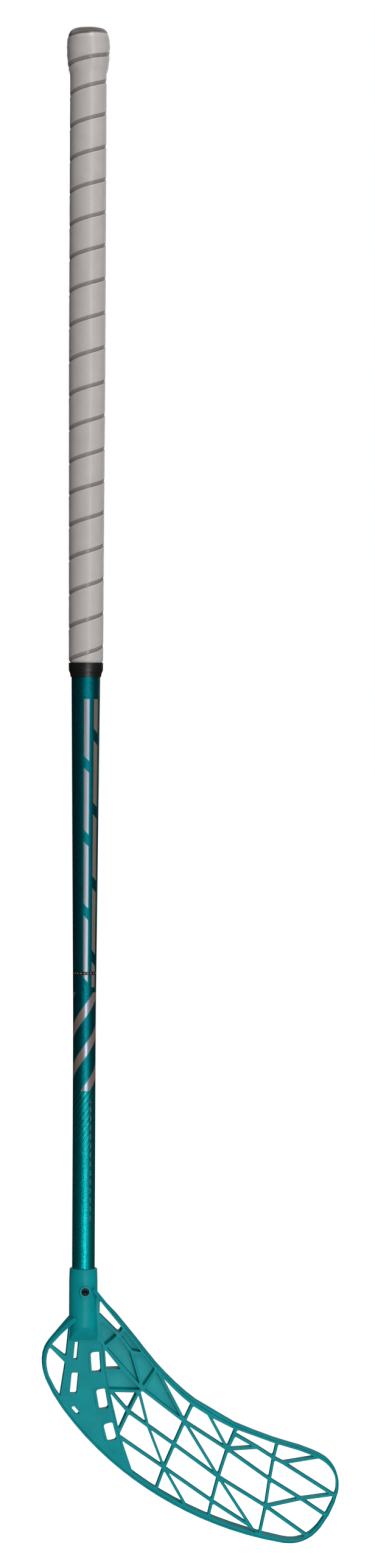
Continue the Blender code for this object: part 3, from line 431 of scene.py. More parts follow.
def flake_lacquer(settings):
    """Metallic flake lacquer, sprayed over a composite tube and printed with foil. It is deep at the sides,
    with a sparkling line where it faces the light, under a thin clear coat. Its colour is painted light:
    darker petrol under the grip and brighter turquoise at the blade, as if the lower tube were lit more
    strongly. The foil carries a painted reflection, cool at the front and warm at the sides. Its flakes are a
    few hundredths of a millimetre in life and are drawn some ten times as coarse, so that they show."""
    material, tree, shader = new_material("flake_lacquer_sprayed", Coat_Weight=0.04, Coat_Roughness=0.3)
    place = add(tree, COORDINATES).outputs["Object"]
    axes = add(tree, SEPARATE, place).outputs
    height = axes["Z"]
    front = add(tree, MATH, axes["Y"], -1.0, operation="MULTIPLY")
    angle = add(tree, MATH, axes["X"], front, operation="ARCTAN2")
    around = add(tree, MATH, angle, TUBE_RADIUS, operation="MULTIPLY")

    flakes = add(tree, "ShaderNodeTexVoronoi", place, 1.0 / settings.flake_size).outputs["Color"]
    glint = add(tree, MAP_RANGE, add(tree, SEPARATE, flakes).outputs["X"], 0.0, 1.0, 0.2, 1.0)
    # Painted light: the lacquer is painted darker under the grip and brighter towards the blade, as if lit
    # more there
    fade = add(tree, MAP_RANGE, height, *PAINTED_LIGHT_FADE, interpolation_type="SMOOTHSTEP")
    paint = add(tree, MIX, fade, (*settings.shaded_upper_color, 1), (*settings.lit_lower_color, 1), data_type="RGBA")
    color = add(tree, MIX, glint, (*settings.deep_color, 1), paint, data_type="RGBA")

    hairlines = slanted_lines(tree, height, around, HAIRLINE_PITCH, (BANDS_END, HAIRLINES_END),
                              HAIRLINE_SHARES)
    color = add(tree, MIX, hairlines, color, (*settings.hairline_color, 1), data_type="RGBA")

    # Foil: long streaks from the tube's wrapped surface, with a painted reflection that is cool where it
    # faces forwards and warm at the sides
    foil = foil_print(tree, height, around)
    stretched = add(tree, MATH, height, 0.01, operation="MULTIPLY")
    streaks = add(tree, COMBINE, around, 0.0, stretched)
    streak = add(tree, NOISE, streaks, 1.0 / (0.9 * MM), 3.0, 0.7)
    side = add(tree, MATH, add(tree, MATH, angle, 0.12, operation="SUBTRACT"), operation="ABSOLUTE")
    painted_reflection_warmth = add(tree, MAP_RANGE, side, 0.1, 0.45)
    shine = add(tree, MIX, painted_reflection_warmth, (*settings.foil_front_reflection, 1), (*settings.foil_side_reflection, 1), data_type="RGBA")
    shade = add(tree, MAP_RANGE, streak, 0.35, 0.65, 0.72, 1.0)
    shine = add(tree, VECTOR_MATH, shine, shade, operation="SCALE")
    color = add(tree, MIX, foil, color, shine, data_type="RGBA")

    # The black ring with its row of plain dots
    ring = add(tree, MATH, height, RING_HEIGHT, RING_HALF_WIDTH, operation="COMPARE")
    dot_row = add(tree, MATH, height, RING_HEIGHT, DOT_HALF_HEIGHT, operation="COMPARE")
    step = add(tree, MATH, angle, DOTS_ROUND / math.tau, operation="MULTIPLY")
    step = add(tree, MATH, step, operation="FRACT")
    dots = add(tree, MATH, step, 0.5, DOT_SHARE, operation="COMPARE")
    dots = add(tree, MATH, dot_row, dots, operation="MULTIPLY")
    color = add(tree, MIX, ring, color, (*settings.ring_color, 1), data_type="RGBA")
    color = add(tree, MIX, dots, color, (*settings.dot_color, 1), data_type="RGBA")
    metallic = add(tree, MAP_RANGE, foil, 0.0, 1.0, 0.97, 0.6)
    metallic = add(tree, MATH, metallic, ring, operation="SUBTRACT", use_clamp=True)
    roughness = add(tree, MAP_RANGE, foil, 0.0, 1.0, 0.46, 0.36)

    # Each flake lies a little out of level, but not under the foil or the ring
    tilt = add(tree, VECTOR_MATH, flakes, (0.5, 0.5, 0.5), operation="SUBTRACT")
    tilt = add(tree, VECTOR_MATH, tilt, (FLAKE_TILT, FLAKE_TILT, FLAKE_TILT), operation="MULTIPLY")
    painted = add(tree, MATH, 1.0, add(tree, MATH, foil, ring, operation="MAXIMUM"), operation="SUBTRACT")
    tilt = add(tree, VECTOR_MATH, tilt, painted, operation="SCALE")
    normal = add(tree, "ShaderNodeNewGeometry").outputs["Normal"]
    normal = add(tree, VECTOR_MATH, normal, tilt, operation="ADD")
    normal = add(tree, VECTOR_MATH, normal, operation="NORMALIZE")
    feed(tree, shader, Base_Color=color, Metallic=metallic, Roughness=roughness, Normal=normal)
    return material


def slanted_lines(tree, height, around, spacing, heights, widths, slant=LINE_SLANT):
    """Mask of parallel lines round the tube, between two heights. Their half widths at the two are given as
    shares of the spacing."""
    top, foot = heights
    phase = add(tree, MATH, around, slant, height, operation="MULTIPLY_ADD")
    phase = add(tree, MATH, add(tree, MATH, phase, 1.0 / spacing, operation="MULTIPLY"), operation="FRACT")
    width = add(tree, MAP_RANGE, height, top, foot, *widths)
    lines = add(tree, MATH, phase, 0.5, width, operation="COMPARE")
    stretch = add(tree, MATH, height, (top + foot) / 2, (top - foot) / 2, operation="COMPARE")
    return add(tree, MATH, lines, stretch, operation="MULTIPLY")


def foil_print(tree, height, around):
    """Mask of the plain foil trim: two rails of long bars with slanted ends, then broad slanted bands, then a
    column of short dashes."""
    trim = []
    for middle, shift in BAR_RAILS:
        moved = add(tree, MATH, height, shift, operation="ADD")
        bars = slanted_lines(tree, moved, around, BAR_PITCH, (PRINT_TOP + shift, PRINT_TURN + shift),
                             (BAR_SHARE, BAR_SHARE), BAR_SLANT)
        rail = add(tree, MATH, around, middle, RAIL_HALF_WIDTH, operation="COMPARE")
        trim.append(add(tree, MATH, bars, rail, operation="MULTIPLY"))
    trim.append(slanted_lines(tree, height, around, BAND_PITCH, (BANDS_TOP, BANDS_END),
                              (BAND_SHARE, BAND_SHARE)))
    dashes = slanted_lines(tree, height, around, DASH_PITCH, (DASHES_TOP, DASHES_END),
                           (DASH_SHARE, DASH_SHARE), 0.0)
    column = add(tree, MATH, around, DASH_COLUMN, DASH_HALF_WIDTH, operation="COMPARE")
    trim.append(add(tree, MATH, dashes, column, operation="MULTIPLY"))
    mask = trim[0]
    for part in trim[1:]:
        mask = add(tree, MATH, mask, part, operation="MAXIMUM")
    return mask


def grip_film(settings):
    """Polyurethane film on thin foam: satin, slightly grained, with a darker thinned edge along each turn
    and darker still where the edge is folded over the butt. A painted shadow darkens the foot of each edge,
    and a painted highlight makes the raised lip under it pale. The film's grain is drawn coarser than life,
    so that it shows."""
    material, tree, shader = new_material("grip_film_on_foam", IOR=1.48, Coat_Weight=0.3, Coat_Roughness=0.2)
    place = add(tree, COORDINATES).outputs["Object"]
    wrap = add(tree, "ShaderNodeAttribute", attribute_name="wrap").outputs["Vector"]
    wrap = add(tree, SEPARATE, wrap).outputs
    over_fold, from_top, from_edge = wrap["X"], wrap["Y"], wrap["Z"]
    grain = add(tree, NOISE, place, 1.0 / (0.55 * MM), 2.0, 0.6)
    cloud = add(tree, NOISE, place, 1.0 / (9.0 * MM), 3.0, 0.6)
    light = add(tree, MAP_RANGE, grain, 0.3, 0.7, 0.95, 1.04)
    light = add(tree, MATH, light, add(tree, MAP_RANGE, cloud, 0.3, 0.7, 0.95, 1.03), operation="MULTIPLY")

    # Streaks of 0.7 mm that run along the stretched edge, some 25 mm long
    along = add(tree, VECTOR_MATH, place, (40.0, 40.0, 0.0), operation="MULTIPLY")
    along = add(tree, SEPARATE, along).outputs
    across = add(tree, MATH, from_edge, 1.0 / (0.7 * MM), operation="MULTIPLY")
    streak = add(tree, NOISE, add(tree, COMBINE, along["X"], along["Y"], across), 1.0, 2.0, 0.5)
    edge_light = add(tree, MAP_RANGE, streak, 0.35, 0.65, 0.82, 1.08)
    edge_tone = add(tree, VECTOR_MATH, tuple(settings.edge_color), edge_light, operation="SCALE")
    edge = add(tree, MAP_RANGE, from_edge, settings.edge_width - 0.35 * MM, settings.edge_width + 0.15 * MM,
               1.0, 0.0)
    color = add(tree, MIX, edge, (*settings.tape_color, 1), edge_tone, data_type="RGBA")

    # The painted shadow at an edge's foot, in the fold's dark colour, and the painted highlight of the pale
    # lip under it
    foot = add(tree, MAP_RANGE, from_edge, 0.05 * MM, 0.6 * MM, 0.55, 0.0)
    color = add(tree, MIX, foot, color, (*settings.fold_and_shadow_color, 1), data_type="RGBA")
    # Painted highlight: the crest of the raised lip is painted pale
    lip = add(tree, MAP_RANGE, from_top, 0.3 * MM, 0.9 * MM, 0.3, 0.0)
    color = add(tree, MIX, lip, color, (*settings.lip_highlight_color, 1), data_type="RGBA")

    # Paler streaks of 1.3 mm, laid by noise across the dark fold over the butt
    across = add(tree, MATH, over_fold, 1.0 / (1.3 * MM), operation="MULTIPLY")
    crease = add(tree, NOISE, add(tree, COMBINE, along["X"], along["Y"], across), 1.0, 3.0, 0.55)
    crease = add(tree, MAP_RANGE, crease, 0.4, 0.66)
    fold_tone = add(tree, MIX, crease, (*settings.fold_and_shadow_color, 1), (*settings.pale_streak_color, 1), data_type="RGBA")
    over_butt = add(tree, MAP_RANGE, over_fold, -0.15 * MM, 0.25 * MM)
    color = add(tree, MIX, over_butt, color, fold_tone, data_type="RGBA")
    color = add(tree, VECTOR_MATH, color, light, operation="SCALE")
    roughness = add(tree, MAP_RANGE, cloud, 0.3, 0.7, 0.42, 0.5)
    bump = add(tree, "ShaderNodeBump", 0.3, 0.04 * MM, None, grain)
    feed(tree, shader, Base_Color=color, Roughness=roughness, Normal=bump)
    return material


def moulded_plastic(settings):
    """Injection-moulded polyolefin: satin from the mould's spark texture, faintly cloudy in colour, with the
    pocket floors painted paler as painted light. The texture is drawn coarser than life, so that it shows."""
    material, tree, shader = new_material("moulded_polyolefin", IOR=1.49, Specular_IOR_Level=0.12)
    place = add(tree, COORDINATES).outputs["Object"]
    cloud = add(tree, NOISE, place, 1.0 / (14.0 * MM), 4.0, 0.55)
    spark = add(tree, NOISE, place, 1.0 / settings.spark_size, 2.0, 0.6)
    light = add(tree, MAP_RANGE, cloud, 0.3, 0.7, 0.9, 1.08)
    light = add(tree, MATH, light, add(tree, MAP_RANGE, spark, 0.3, 0.7, 0.93, 1.05), operation="MULTIPLY")
    # Painted light: the pocket floors are painted paler than the rest, as if lit more
    floors = add(tree, "ShaderNodeAttribute", attribute_name="lit_pocket_floor").outputs["Fac"]
    color = add(tree, MIX, floors, (*settings.plastic_color, 1), (*settings.lit_floor_color, 1), data_type="RGBA")
    color = add(tree, VECTOR_MATH, color, light, operation="SCALE")
    roughness = add(tree, MAP_RANGE, spark, 0.3, 0.7, 0.38, 0.48)
    bump = add(tree, "ShaderNodeBump", 0.25, 0.03 * MM, None, spark)
    feed(tree, shader, Base_Color=color, Roughness=roughness, Normal=bump)
    return material


def vinyl_tape(settings):
    """Calendered vinyl tape, stretched on: smooth black with faint ripples of 1.4 mm round the band."""
    material, tree, shader = new_material(
        "vinyl_tape_stretched", Base_Color=tuple(settings.vinyl_color), IOR=1.5)
    place = add(tree, COORDINATES).outputs["Object"]
    flat = add(tree, VECTOR_MATH, place, (0.25, 0.25, 1.0), operation="MULTIPLY")
    ripple = add(tree, NOISE, flat, 1.0 / (1.4 * MM), 2.0, 0.5)
    roughness = add(tree, MAP_RANGE, ripple, 0.3, 0.7, 0.34, 0.5)
    bump = add(tree, "ShaderNodeBump", 0.4, 0.08 * MM, None, ripple)
    feed(tree, shader, Roughness=roughness, Normal=bump)
    return material


def cap_rubber(settings):
    """Compression-moulded rubber: matt, dark brown-black, with a fine grain that is drawn coarser than life,
    so that it shows."""
    material, tree, shader = new_material("moulded_rubber", Base_Color=tuple(settings.rubber_color), IOR=1.52)
    place = add(tree, COORDINATES).outputs["Object"]
    grain = add(tree, NOISE, place, 1.0 / (0.6 * MM), 3.0, 0.6)
    roughness = add(tree, MAP_RANGE, grain, 0.3, 0.7, 0.6, 0.78)
    bump = add(tree, "ShaderNodeBump", 0.5, 0.06 * MM, None, grain)
    feed(tree, shader, Roughness=roughness, Normal=bump)
    return material


def oxide_steel(settings):
    """Black-oxide steel: a dark metal, a little mottled and oily. The mottle is drawn coarser than life, so
    that it shows."""
    material, tree, shader = new_material("black_oxide_steel", Metallic=0.9)
    place = add(tree, COORDINATES).outputs["Object"]
    mottle = add(tree, NOISE, place, 1.0 / (0.5 * MM), 3.0, 0.7)
    thin = add(tree, MAP_RANGE, mottle, 0.35, 0.65)
    color = add(tree, MIX, thin, (*settings.steel_color, 1), (*settings.bare_color, 1), data_type="RGBA")
    roughness = add(tree, MAP_RANGE, mottle, 0.3, 0.7, 0.3, 0.5)
    feed(tree, shader, Base_Color=color, Roughness=roughness)
    return material


def curve_of(tree, value, places, low, high):
    """A smooth curve through (place, result) pairs, read at a value. All results lie from low to high."""
    first, last = min(places)[0], max(places)[0]
    share = add(tree, MAP_RANGE, value, first, last)
    curve = add(tree, "ShaderNodeFloatCurve", 1.0, share)
    points = curve.mapping.curves[0].points
    for i, (at, result) in enumerate(sorted(places)):
        x, y = (at - first) / (last - first), (result - low) / (high - low)
        if i in (0, len(places) - 1):
            points[0 if i == 0 else len(points) - 1].location = (x, y)
        else:
            points.new(x, y)
    curve.mapping.use_clip = False
    curve.mapping.update()
    return add(tree, MAP_RANGE, curve, 0.0, 1.0, low, high)


def fold_height(tree, given, angle):
    """Height of the nearly level line where the first turn is folded over the butt."""
    lean = add(tree, MATH, add(tree, MATH, angle, operation="COSINE"), FOLD_LEAN, operation="MULTIPLY")
    return add(tree, MATH, lean, given["Fold Height"], operation="ADD")


def edge_height(tree, given, turn):
    """Height of the visible edge between turns. It is level on the first turn, over the butt fold, then it
    runs down, and the turns close up over the knob."""
    left = add(tree, MATH, 2.0, turn, operation="SUBTRACT")
    spare = add(tree, MATH, left, 0.0, operation="MAXIMUM")
    closer = add(tree, MATH, spare, 2.0, operation="POWER")
    closer = add(tree, MATH, closer, given["Tightening"], operation="MULTIPLY")
    plain = add(tree, MATH, left, given["Pitch"], given["Second Edge"], operation="MULTIPLY_ADD")
    plain = add(tree, MATH, plain, closer, operation="SUBTRACT")
    uneven = [(at, height * MM) for at, height in GRIP_UNEVEN]
    plain = add(tree, MATH, plain, curve_of(tree, turn, uneven, *UNEVEN_RANGE), operation="ADD")
    angle = add(tree, MATH, turn, -math.tau, given["Edge Angle"], operation="MULTIPLY_ADD")
    fold = fold_height(tree, given, angle)
    running = add(tree, MAP_RANGE, turn, *RUNS_DOWN, 0.0, 1.0, interpolation_type="SMOOTHSTEP")
    below = add(tree, MATH, plain, fold, operation="SUBTRACT")
    height = add(tree, MATH, below, running, fold, operation="MULTIPLY_ADD")
    rise = add(tree, MAP_RANGE, turn, *TUCKED_IN, TUCK_RISE, 0.0, interpolation_type="SMOOTHSTEP")
    height = add(tree, MATH, height, rise, operation="ADD")
    return add(tree, MATH, height, given["Top"], operation="MINIMUM")


def winding_tree(inputs):
    """Geometry tree of the winding: a strip of faces is laid along the helix, each row between its own
    edge and the next turn's, then given its thickness."""
    tree, given = geometry_tree("grip winding", inputs)
    columns = add(tree, MATH, given["Turns"], given["Steps Per Turn"], 1.0, operation="MULTIPLY_ADD")
    strip = add(tree, "GeometryNodeMeshGrid", 1.0, 1.0, columns, given["Rows"]).outputs["Mesh"]
    flat = add(tree, SEPARATE, add(tree, "GeometryNodeInputPosition")).outputs
    along = add(tree, MATH, flat["X"], 0.5, operation="ADD")
    turn = add(tree, MATH, along, given["Turns"], given["First Turn"], operation="MULTIPLY_ADD")
    swing = add(tree, MATH, add(tree, MATH, flat["Y"], 0.5, operation="ADD"), math.pi, operation="MULTIPLY")
    share = add(tree, MATH, add(tree, MATH, swing, operation="COSINE"), -0.5, 0.5, operation="MULTIPLY_ADD")

    high = edge_height(tree, given, turn)
    next_turn = add(tree, MATH, turn, 1.0, operation="ADD")
    low = add(tree, MATH, edge_height(tree, given, next_turn), given["Bottom"], operation="MAXIMUM")
    width = add(tree, MATH, low, high, operation="SUBTRACT")
    place = add(tree, MATH, width, share, high, operation="MULTIPLY_ADD")
    from_top = add(tree, MATH, high, place, operation="SUBTRACT")
    from_edge = add(tree, MATH, place, low, operation="SUBTRACT")

    knob = [(at * MM, radius * MM) for at, _, radius in KNOB_OUTLINE]
    rise = [(at * MM, (height - at) * MM) for at, height, _ in KNOB_OUTLINE]
    radius = curve_of(tree, place, knob, *RADIUS_RANGE)
    fold = curve_of(tree, place, rise, *RISE_RANGE)
    for (start, wide), (end, narrow) in (GRIP_TAPER, GRIP_END):
        less = add(tree, MAP_RANGE, place, start * MM, end * MM, 0.0, (narrow - wide) * MM)
        radius = add(tree, MATH, radius, less, operation="ADD")
    drop = add(tree, MATH, given["Edge Drop"], -1.0, operation="MULTIPLY")
    drop = add(tree, MAP_RANGE, from_edge, 0.0, given["Edge Width"], drop, 0.0)
    lip = add(tree, MAP_RANGE, from_top, 0.0, 0.5 * MM, -0.22 * MM, 0.1 * MM, interpolation_type="SMOOTHSTEP")
    fade = add(tree, MAP_RANGE, from_top, 0.5 * MM, 2.4 * MM, 0.0, -0.1 * MM, interpolation_type="SMOOTHSTEP")
    # The level first turn is stretched flat over the butt, so it has neither a thin edge nor a lip
    for part, turns in ((drop, THINS_OUT), (lip, RUNS_DOWN), (fade, RUNS_DOWN)):
        wound = add(tree, MAP_RANGE, turn, *turns, 0.0, 1.0, interpolation_type="SMOOTHSTEP")
        radius = add(tree, MATH, part, wound, radius, operation="MULTIPLY_ADD")

    angle = add(tree, MATH, turn, -math.tau, given["Edge Angle"], operation="MULTIPLY_ADD")
    cosine, sine = (add(tree, MATH, angle, operation=name) for name in ("COSINE", "SINE"))
    height = add(tree, MATH, place, fold, operation="ADD")

    # Soft wrinkles, three times as long round the grip as they are high, and deepest on the knob
    smooth_place = [add(tree, MATH, part, WRINKLE_RADIUS, operation="MULTIPLY") for part in (cosine, sine)]
    slack = add(tree, COMBINE, *smooth_place, height)
    slack = add(tree, VECTOR_MATH, slack, (1.0, 1.0, 3.0), operation="MULTIPLY")
    wrinkle = add(tree, NOISE, slack, 1.0 / WRINKLE_SIZE, 2.0, 0.5)
    wrinkle = add(tree, MAP_RANGE, wrinkle, 0.3, 0.7, -1.0, 1.0, interpolation_type="SMOOTHSTEP")
    on_knob = add(tree, MAP_RANGE, place, KNOB_FOOT - 8 * MM, KNOB_FOOT + 4 * MM, 0.15, 1.0)
    depth = add(tree, MATH, on_knob, given["Wrinkle Depth"], operation="MULTIPLY")
    radius = add(tree, MATH, wrinkle, depth, radius, operation="MULTIPLY_ADD")
    x, y = (add(tree, MATH, part, radius, operation="MULTIPLY") for part in (cosine, sine))

    # Each corner keeps its distances from the fold and from the tape's edges, for the film's shading
    over_fold = add(tree, MATH, place, fold_height(tree, given, angle), operation="SUBTRACT")
    wrap = add(tree, COMBINE, over_fold, from_top, from_edge)
    marked = add(tree, "GeometryNodeStoreNamedAttribute", strip, None, "wrap", wrap, data_type="FLOAT_VECTOR")
    wound = add(tree, "GeometryNodeSetPosition", marked, None, add(tree, COMBINE, x, y, height))
    inwards = add(tree, "GeometryNodeInputPosition")
    inwards = add(tree, VECTOR_MATH, inwards, (-1.0, -1.0, 0.0), operation="MULTIPLY")
    inwards = add(tree, VECTOR_MATH, inwards, operation="NORMALIZE")
    backed = add(tree, "GeometryNodeExtrudeMesh", wound, None, inwards, given["Wall"], False)
    both = tree.nodes.new("GeometryNodeJoinGeometry")
    tree.links.new(backed.outputs["Mesh"], both.inputs[0])
    tree.links.new(add(tree, "GeometryNodeFlipFaces", wound).outputs[0], both.inputs[0])
    closed = add(tree, "GeometryNodeMergeByDistance", both, None, 0.001 * MM)
    smooth = add(tree, "GeometryNodeSetShadeSmooth", closed, None, True)
    real = add(tree, "GeometryNodeRealizeInstances", smooth)
    finished = add(tree, "GeometryNodeSetMaterial", real, None, given["Material"])
    add(tree, "NodeGroupOutput", finished)
    return tree


class STICK_OT_grip(bpy.types.Operator):
    """Winds the grip tape round the tube and the knob"""
    bl_idname = "stick.grip"
    bl_label = "Wind Grip"

    def execute(self, context):
        settings = context.scene.stick_grip
        inputs = {
            "Turns": settings.turns, "Steps Per Turn": STEPS_PER_TURN, "Rows": ROWS_ACROSS,
            "First Turn": settings.first_turn, "Pitch": settings.pitch, "Second Edge": settings.second_edge,
            "Tightening": settings.tightening, "Edge Angle": settings.edge_angle,
            "Top": KNOB_OUTLINE[0][0] * MM, "Bottom": settings.bottom, "Fold Height": FOLD_HEIGHT,
            "Edge Width": settings.edge_width, "Edge Drop": settings.edge_drop,
            "Wrinkle Depth": WRINKLE_DEPTH, "Wall": settings.wall, "Material": grip_film(settings),
        }
        wrap = grown("grip_wrap", winding_tree(inputs), inputs)
        wrap.data.set_sharp_from_angle(angle=math.radians(WOUND_SHARP))
        seat(wrap, None, "grip_foam", "grip_tape")
        return {"FINISHED"}


class STICK_OT_tube(bpy.types.Operator):
    """Finishes the tapered tube in flake lacquer with plain foil trim"""
    bl_idname = "stick.tube"
    bl_label = "Finish Tube"

    def execute(self, context):
        tube = smooth_copy("shaft", "lacquered_tube", PLAIN_SHARP)
        seat(tube, flake_lacquer(context.scene.stick_tube), "lacquered_composite", "shaft")
        return {"FINISHED"}


class STICK_OT_bands(bpy.types.Operator):
    """Finishes the rubber butt cap and the black tape below the grip"""
    bl_idname = "stick.bands"
    bl_label = "Finish Cap and Tape"

    def execute(self, context):
        settings = context.scene.stick_trim
        cap = smooth_copy("end_cap", "butt_cap", PLAIN_SHARP)
        seat(cap, cap_rubber(settings), "black_rubber", "end_cap")
        band = smooth_copy("closing_tape", "closing_band", PLAIN_SHARP)
        seat(band, vinyl_tape(settings), "black_vinyl", "closing_tape")
        return {"FINISHED"}


class STICK_OT_blade(bpy.types.Operator):
    """Finishes the moulded blade with rounded edges"""
    bl_idname = "stick.blade"
    bl_label = "Finish Blade"

    def execute(self, context):
        settings = context.scene.stick_blade
        blade = rounded_copy("blade", "moulded_blade", settings.edge_radius)
        mark_pocket_floors(blade)
        seat(blade, moulded_plastic(settings), "moulded_plastic", "blade")
        return {"FINISHED"}


class STICK_OT_screws(bpy.types.Operator):
    """Finishes the two screws of the blade"""
    bl_idname = "stick.screws"
    bl_label = "Finish Screws"

    def execute(self, context):
        steel = oxide_steel(context.scene.stick_trim)
        for side in ("front", "rear"):
            screw = smooth_copy(f"screw_{side}", f"{side}_screw", SCREW_SHARP)
            seat(screw, steel, "black_steel", f"screw_{side}")
        return {"FINISHED"}


class STICK_OT_stage(bpy.types.Operator):
    """Builds the floor, the lights and the camera"""
    bl_idname = "stick.stage"
    bl_label = "Build Stage"

    def execute(self, context):
        settings = context.scene.stick_stage
        add_camera()
        add_world(settings)
        add_floor(settings)
        add_lights(settings)
        add_screen(settings)
        context.scene.view_settings.view_transform = "Standard"
        return {"FINISHED"}


# The camera: how far it is turned round the stick, its roll, and in metres its distance, how far it stands
# beside the stick's axis and its height along the stick. Then, in the photo's pixels, the photo's height,
# the focal length and the row that the camera points at.
CAMERA_TURN = math.radians(9.2)
CAMERA_ROLL = math.radians(0.241)
CAMERA_DISTANCE = 2.761
CAMERA_ASIDE = 0.0789
CAMERA_HEIGHT = -0.5249
PICTURE_HEIGHT = 2576
FOCAL_PIXELS = 5850
CENTRE_ROW = 1161


def camera_axis(across, deep, up):
    """A direction given across, into and up the picture, in the stick's frame."""
    x = across * math.cos(CAMERA_ROLL) - up * math.sin(CAMERA_ROLL)
    z = across * math.sin(CAMERA_ROLL) + up * math.cos(CAMERA_ROLL)
    cosine, sine = math.cos(CAMERA_TURN), math.sin(CAMERA_TURN)
    return Vector((x * cosine + deep * sine, -x * sine + deep * cosine, z))


def add_camera():
    """A camera that frames the stick as the photo does."""
    lens = bpy.data.cameras.new("camera")
    lens.sensor_fit = "VERTICAL"
    lens.lens = FOCAL_PIXELS / PICTURE_HEIGHT * lens.sensor_height
    lens.shift_y = (CENTRE_ROW - PICTURE_HEIGHT / 2) / PICTURE_HEIGHT
    camera = placed("camera", lens)
    axes = (camera_axis(1, 0, 0), camera_axis(0, 0, 1), -camera_axis(0, 1, 0))
    camera.matrix_world = Matrix(axes).transposed().to_4x4()
    camera.location = camera_axis(CAMERA_ASIDE, -CAMERA_DISTANCE, 0) + Vector((0, 0, CAMERA_HEIGHT))
    bpy.context.scene.camera = camera


def seen(tree):
    """1 where a surface is seen, directly or in gloss or glass, and 0 where it only gives light."""
    path = add(tree, "ShaderNodeLightPath").outputs
    direct = add(tree, MATH, path["Is Camera Ray"], path["Is Glossy Ray"], operation="MAXIMUM")
    return add(tree, MATH, direct, path["Is Transmission Ray"], operation="MAXIMUM")


def add_world(settings):
    """White to look at and in reflections, and a soft light on everything else."""
    world = bpy.data.worlds.new("studio")
    world.use_nodes = True
    tree = world.node_tree
    tree.nodes.clear()
    soft = add(tree, "ShaderNodeBackground", (1, 1, 1, 1), settings.ambient)
    white = add(tree, "ShaderNodeBackground", (1, 1, 1, 1), 1.0)
    add(tree, "ShaderNodeOutputWorld", add(tree, "ShaderNodeMixShader", seen(tree), soft, white))
    bpy.context.scene.world = world


def add_floor(settings):
    """Pale paper, white to the camera where nothing shades it."""
    material = bpy.data.materials.new("white_paper")
    material.use_nodes = True
    tree = material.node_tree
    tree.nodes.clear()
    strength = add(tree, MATH, seen(tree), FLOOR_LIFT, operation="MULTIPLY")
    lift = add(tree, "ShaderNodeEmission", (1, 1, 1, 1), strength)
    paper = add(tree, "ShaderNodeBsdfDiffuse", (*linear("ededed"), 1))
    add(tree, "ShaderNodeOutputMaterial", add(tree, "ShaderNodeAddShader", lift, paper))

    shape = bmesh.new()
    level = Matrix.Translation((0.0, 0.0, CAD_BOX[0].z - settings.floor_drop))
    bmesh.ops.create_grid(shape, x_segments=1, y_segments=1, size=FLOOR_WIDTH / 2, matrix=level)
    floor = built("floor", shape)
    floor.data.materials.append(material)


def add_lamp(name, place, target, width, height, power, in_reflections=True):
    """A soft rectangular light, in metres and watts, that the camera doesn't see."""
    lamp = bpy.data.lights.new(name, "AREA")
    lamp.shape = "RECTANGLE"
    lamp.size, lamp.size_y, lamp.energy = width, height, power
    holder = placed(name, lamp)
    direction = Vector(target) - Vector(place)
    holder.matrix_world = Matrix.Translation(place) @ direction.to_track_quat("-Z", "Y").to_matrix().to_4x4()
    holder.visible_camera = False
    holder.visible_glossy = in_reflections


def add_lights(settings):
    """A tall and a low strip a little to the right of the camera, a soft light above them and one behind."""
    middle = (CAD_BOX[0].z + CAD_BOX[1].z) / 2
    axis = (0.0, 0.0, middle)
    add_lamp("key", (0.5, -1.7, 0.35), axis, 0.4, 2.6, settings.key_power)
    add_lamp("low_key", (0.3, -1.75, -1.4), (0.0, 0.0, -0.9), 0.25, 0.8, settings.low_power)
    add_lamp("top", (0.09, -0.7, 0.62), (0.0, 0.0, -0.02), 0.42, 0.2, settings.top_power)
    add_lamp("back", (0.0, 2.1, middle), axis, 1.0, 1.0, settings.back_power, in_reflections=False)


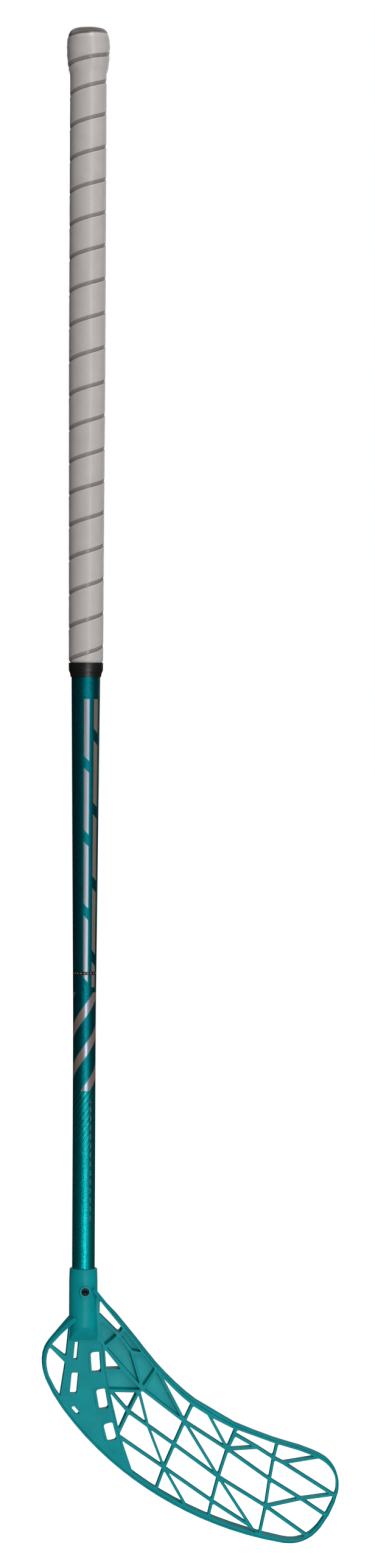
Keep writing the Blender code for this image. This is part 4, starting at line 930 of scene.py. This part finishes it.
def add_screen(settings):
    """A dark screen that only reflections see stands round the stick on a dark foot, so that the glossy
    sides stay deep. Behind the stick, on one side, it is low."""
    middle = (CAD_BOX[0].z + CAD_BOX[1].z) / 2
    foot = CAD_BOX[0].z - settings.floor_drop + MM
    shape = bmesh.new()
    columns = []
    for turn in range(SCREEN_START, SCREEN_END + 1, SCREEN_STEP):
        x, y = math.sin(math.radians(turn)) * SCREEN_RADIUS, -math.cos(math.radians(turn)) * SCREEN_RADIUS
        rim = middle + (SCREEN_LOW_RISE if turn < SCREEN_LOW_END else SCREEN_RISE)
        column = [(0.0, 0.0, foot), (x, y, foot), (x, y, rim)]
        columns.append([shape.verts.new(corner) for corner in column])
    for left, right in zip(columns, columns[1:]):
        for i in range(2):
            shape.faces.new((left[i], right[i], right[i + 1], left[i + 1]))
    bmesh.ops.remove_doubles(shape, verts=shape.verts, dist=MM)
    bmesh.ops.recalc_face_normals(shape, faces=shape.faces)
    screen = built("black_screen", shape)
    felt = new_material("black_felt", Base_Color=linear("191c1f"), Roughness=0.9)[0]
    screen.data.materials.append(felt)
    screen.visible_camera = screen.visible_diffuse = screen.visible_shadow = False
    screen.visible_transmission = screen.visible_volume_scatter = False


class STICK_PT_panel(bpy.types.Panel):
    """Steps that finish the stick, in order"""
    bl_idname = "STICK_PT_panel"
    bl_label = "Floorball Stick"
    bl_space_type = "VIEW_3D"
    bl_region_type = "UI"
    bl_category = "Stick"

    def draw(self, context):
        for name, settings in SETTINGS.items():
            box = self.layout.box()
            for entry in settings.__annotations__:
                box.prop(getattr(context.scene, name), entry)
        for step in OPERATORS:
            self.layout.operator(step.bl_idname)


OPERATORS = (STICK_OT_tube, STICK_OT_bands, STICK_OT_grip, STICK_OT_blade, STICK_OT_screws, STICK_OT_stage)
SETTINGS = {
    "stick_grip": StickGripSettings, "stick_tube": StickTubeSettings, "stick_blade": StickBladeSettings,
    "stick_trim": StickTrimSettings, "stick_stage": StickStageSettings,
}


def register():
    for kind in (*SETTINGS.values(), *OPERATORS, STICK_PT_panel):
        bpy.utils.register_class(kind)
    for name, kind in SETTINGS.items():
        setattr(bpy.types.Scene, name, PointerProperty(type=kind))


def unregister():
    for name in SETTINGS:
        delattr(bpy.types.Scene, name)
    for kind in reversed((*SETTINGS.values(), *OPERATORS, STICK_PT_panel)):
        bpy.utils.unregister_class(kind)


def main():
    register()
    bpy.ops.stick.tube()
    bpy.ops.stick.bands()
    bpy.ops.stick.grip()
    bpy.ops.stick.blade()
    bpy.ops.stick.screws()
    bpy.ops.stick.stage()


if __name__ == "__main__":
    main()
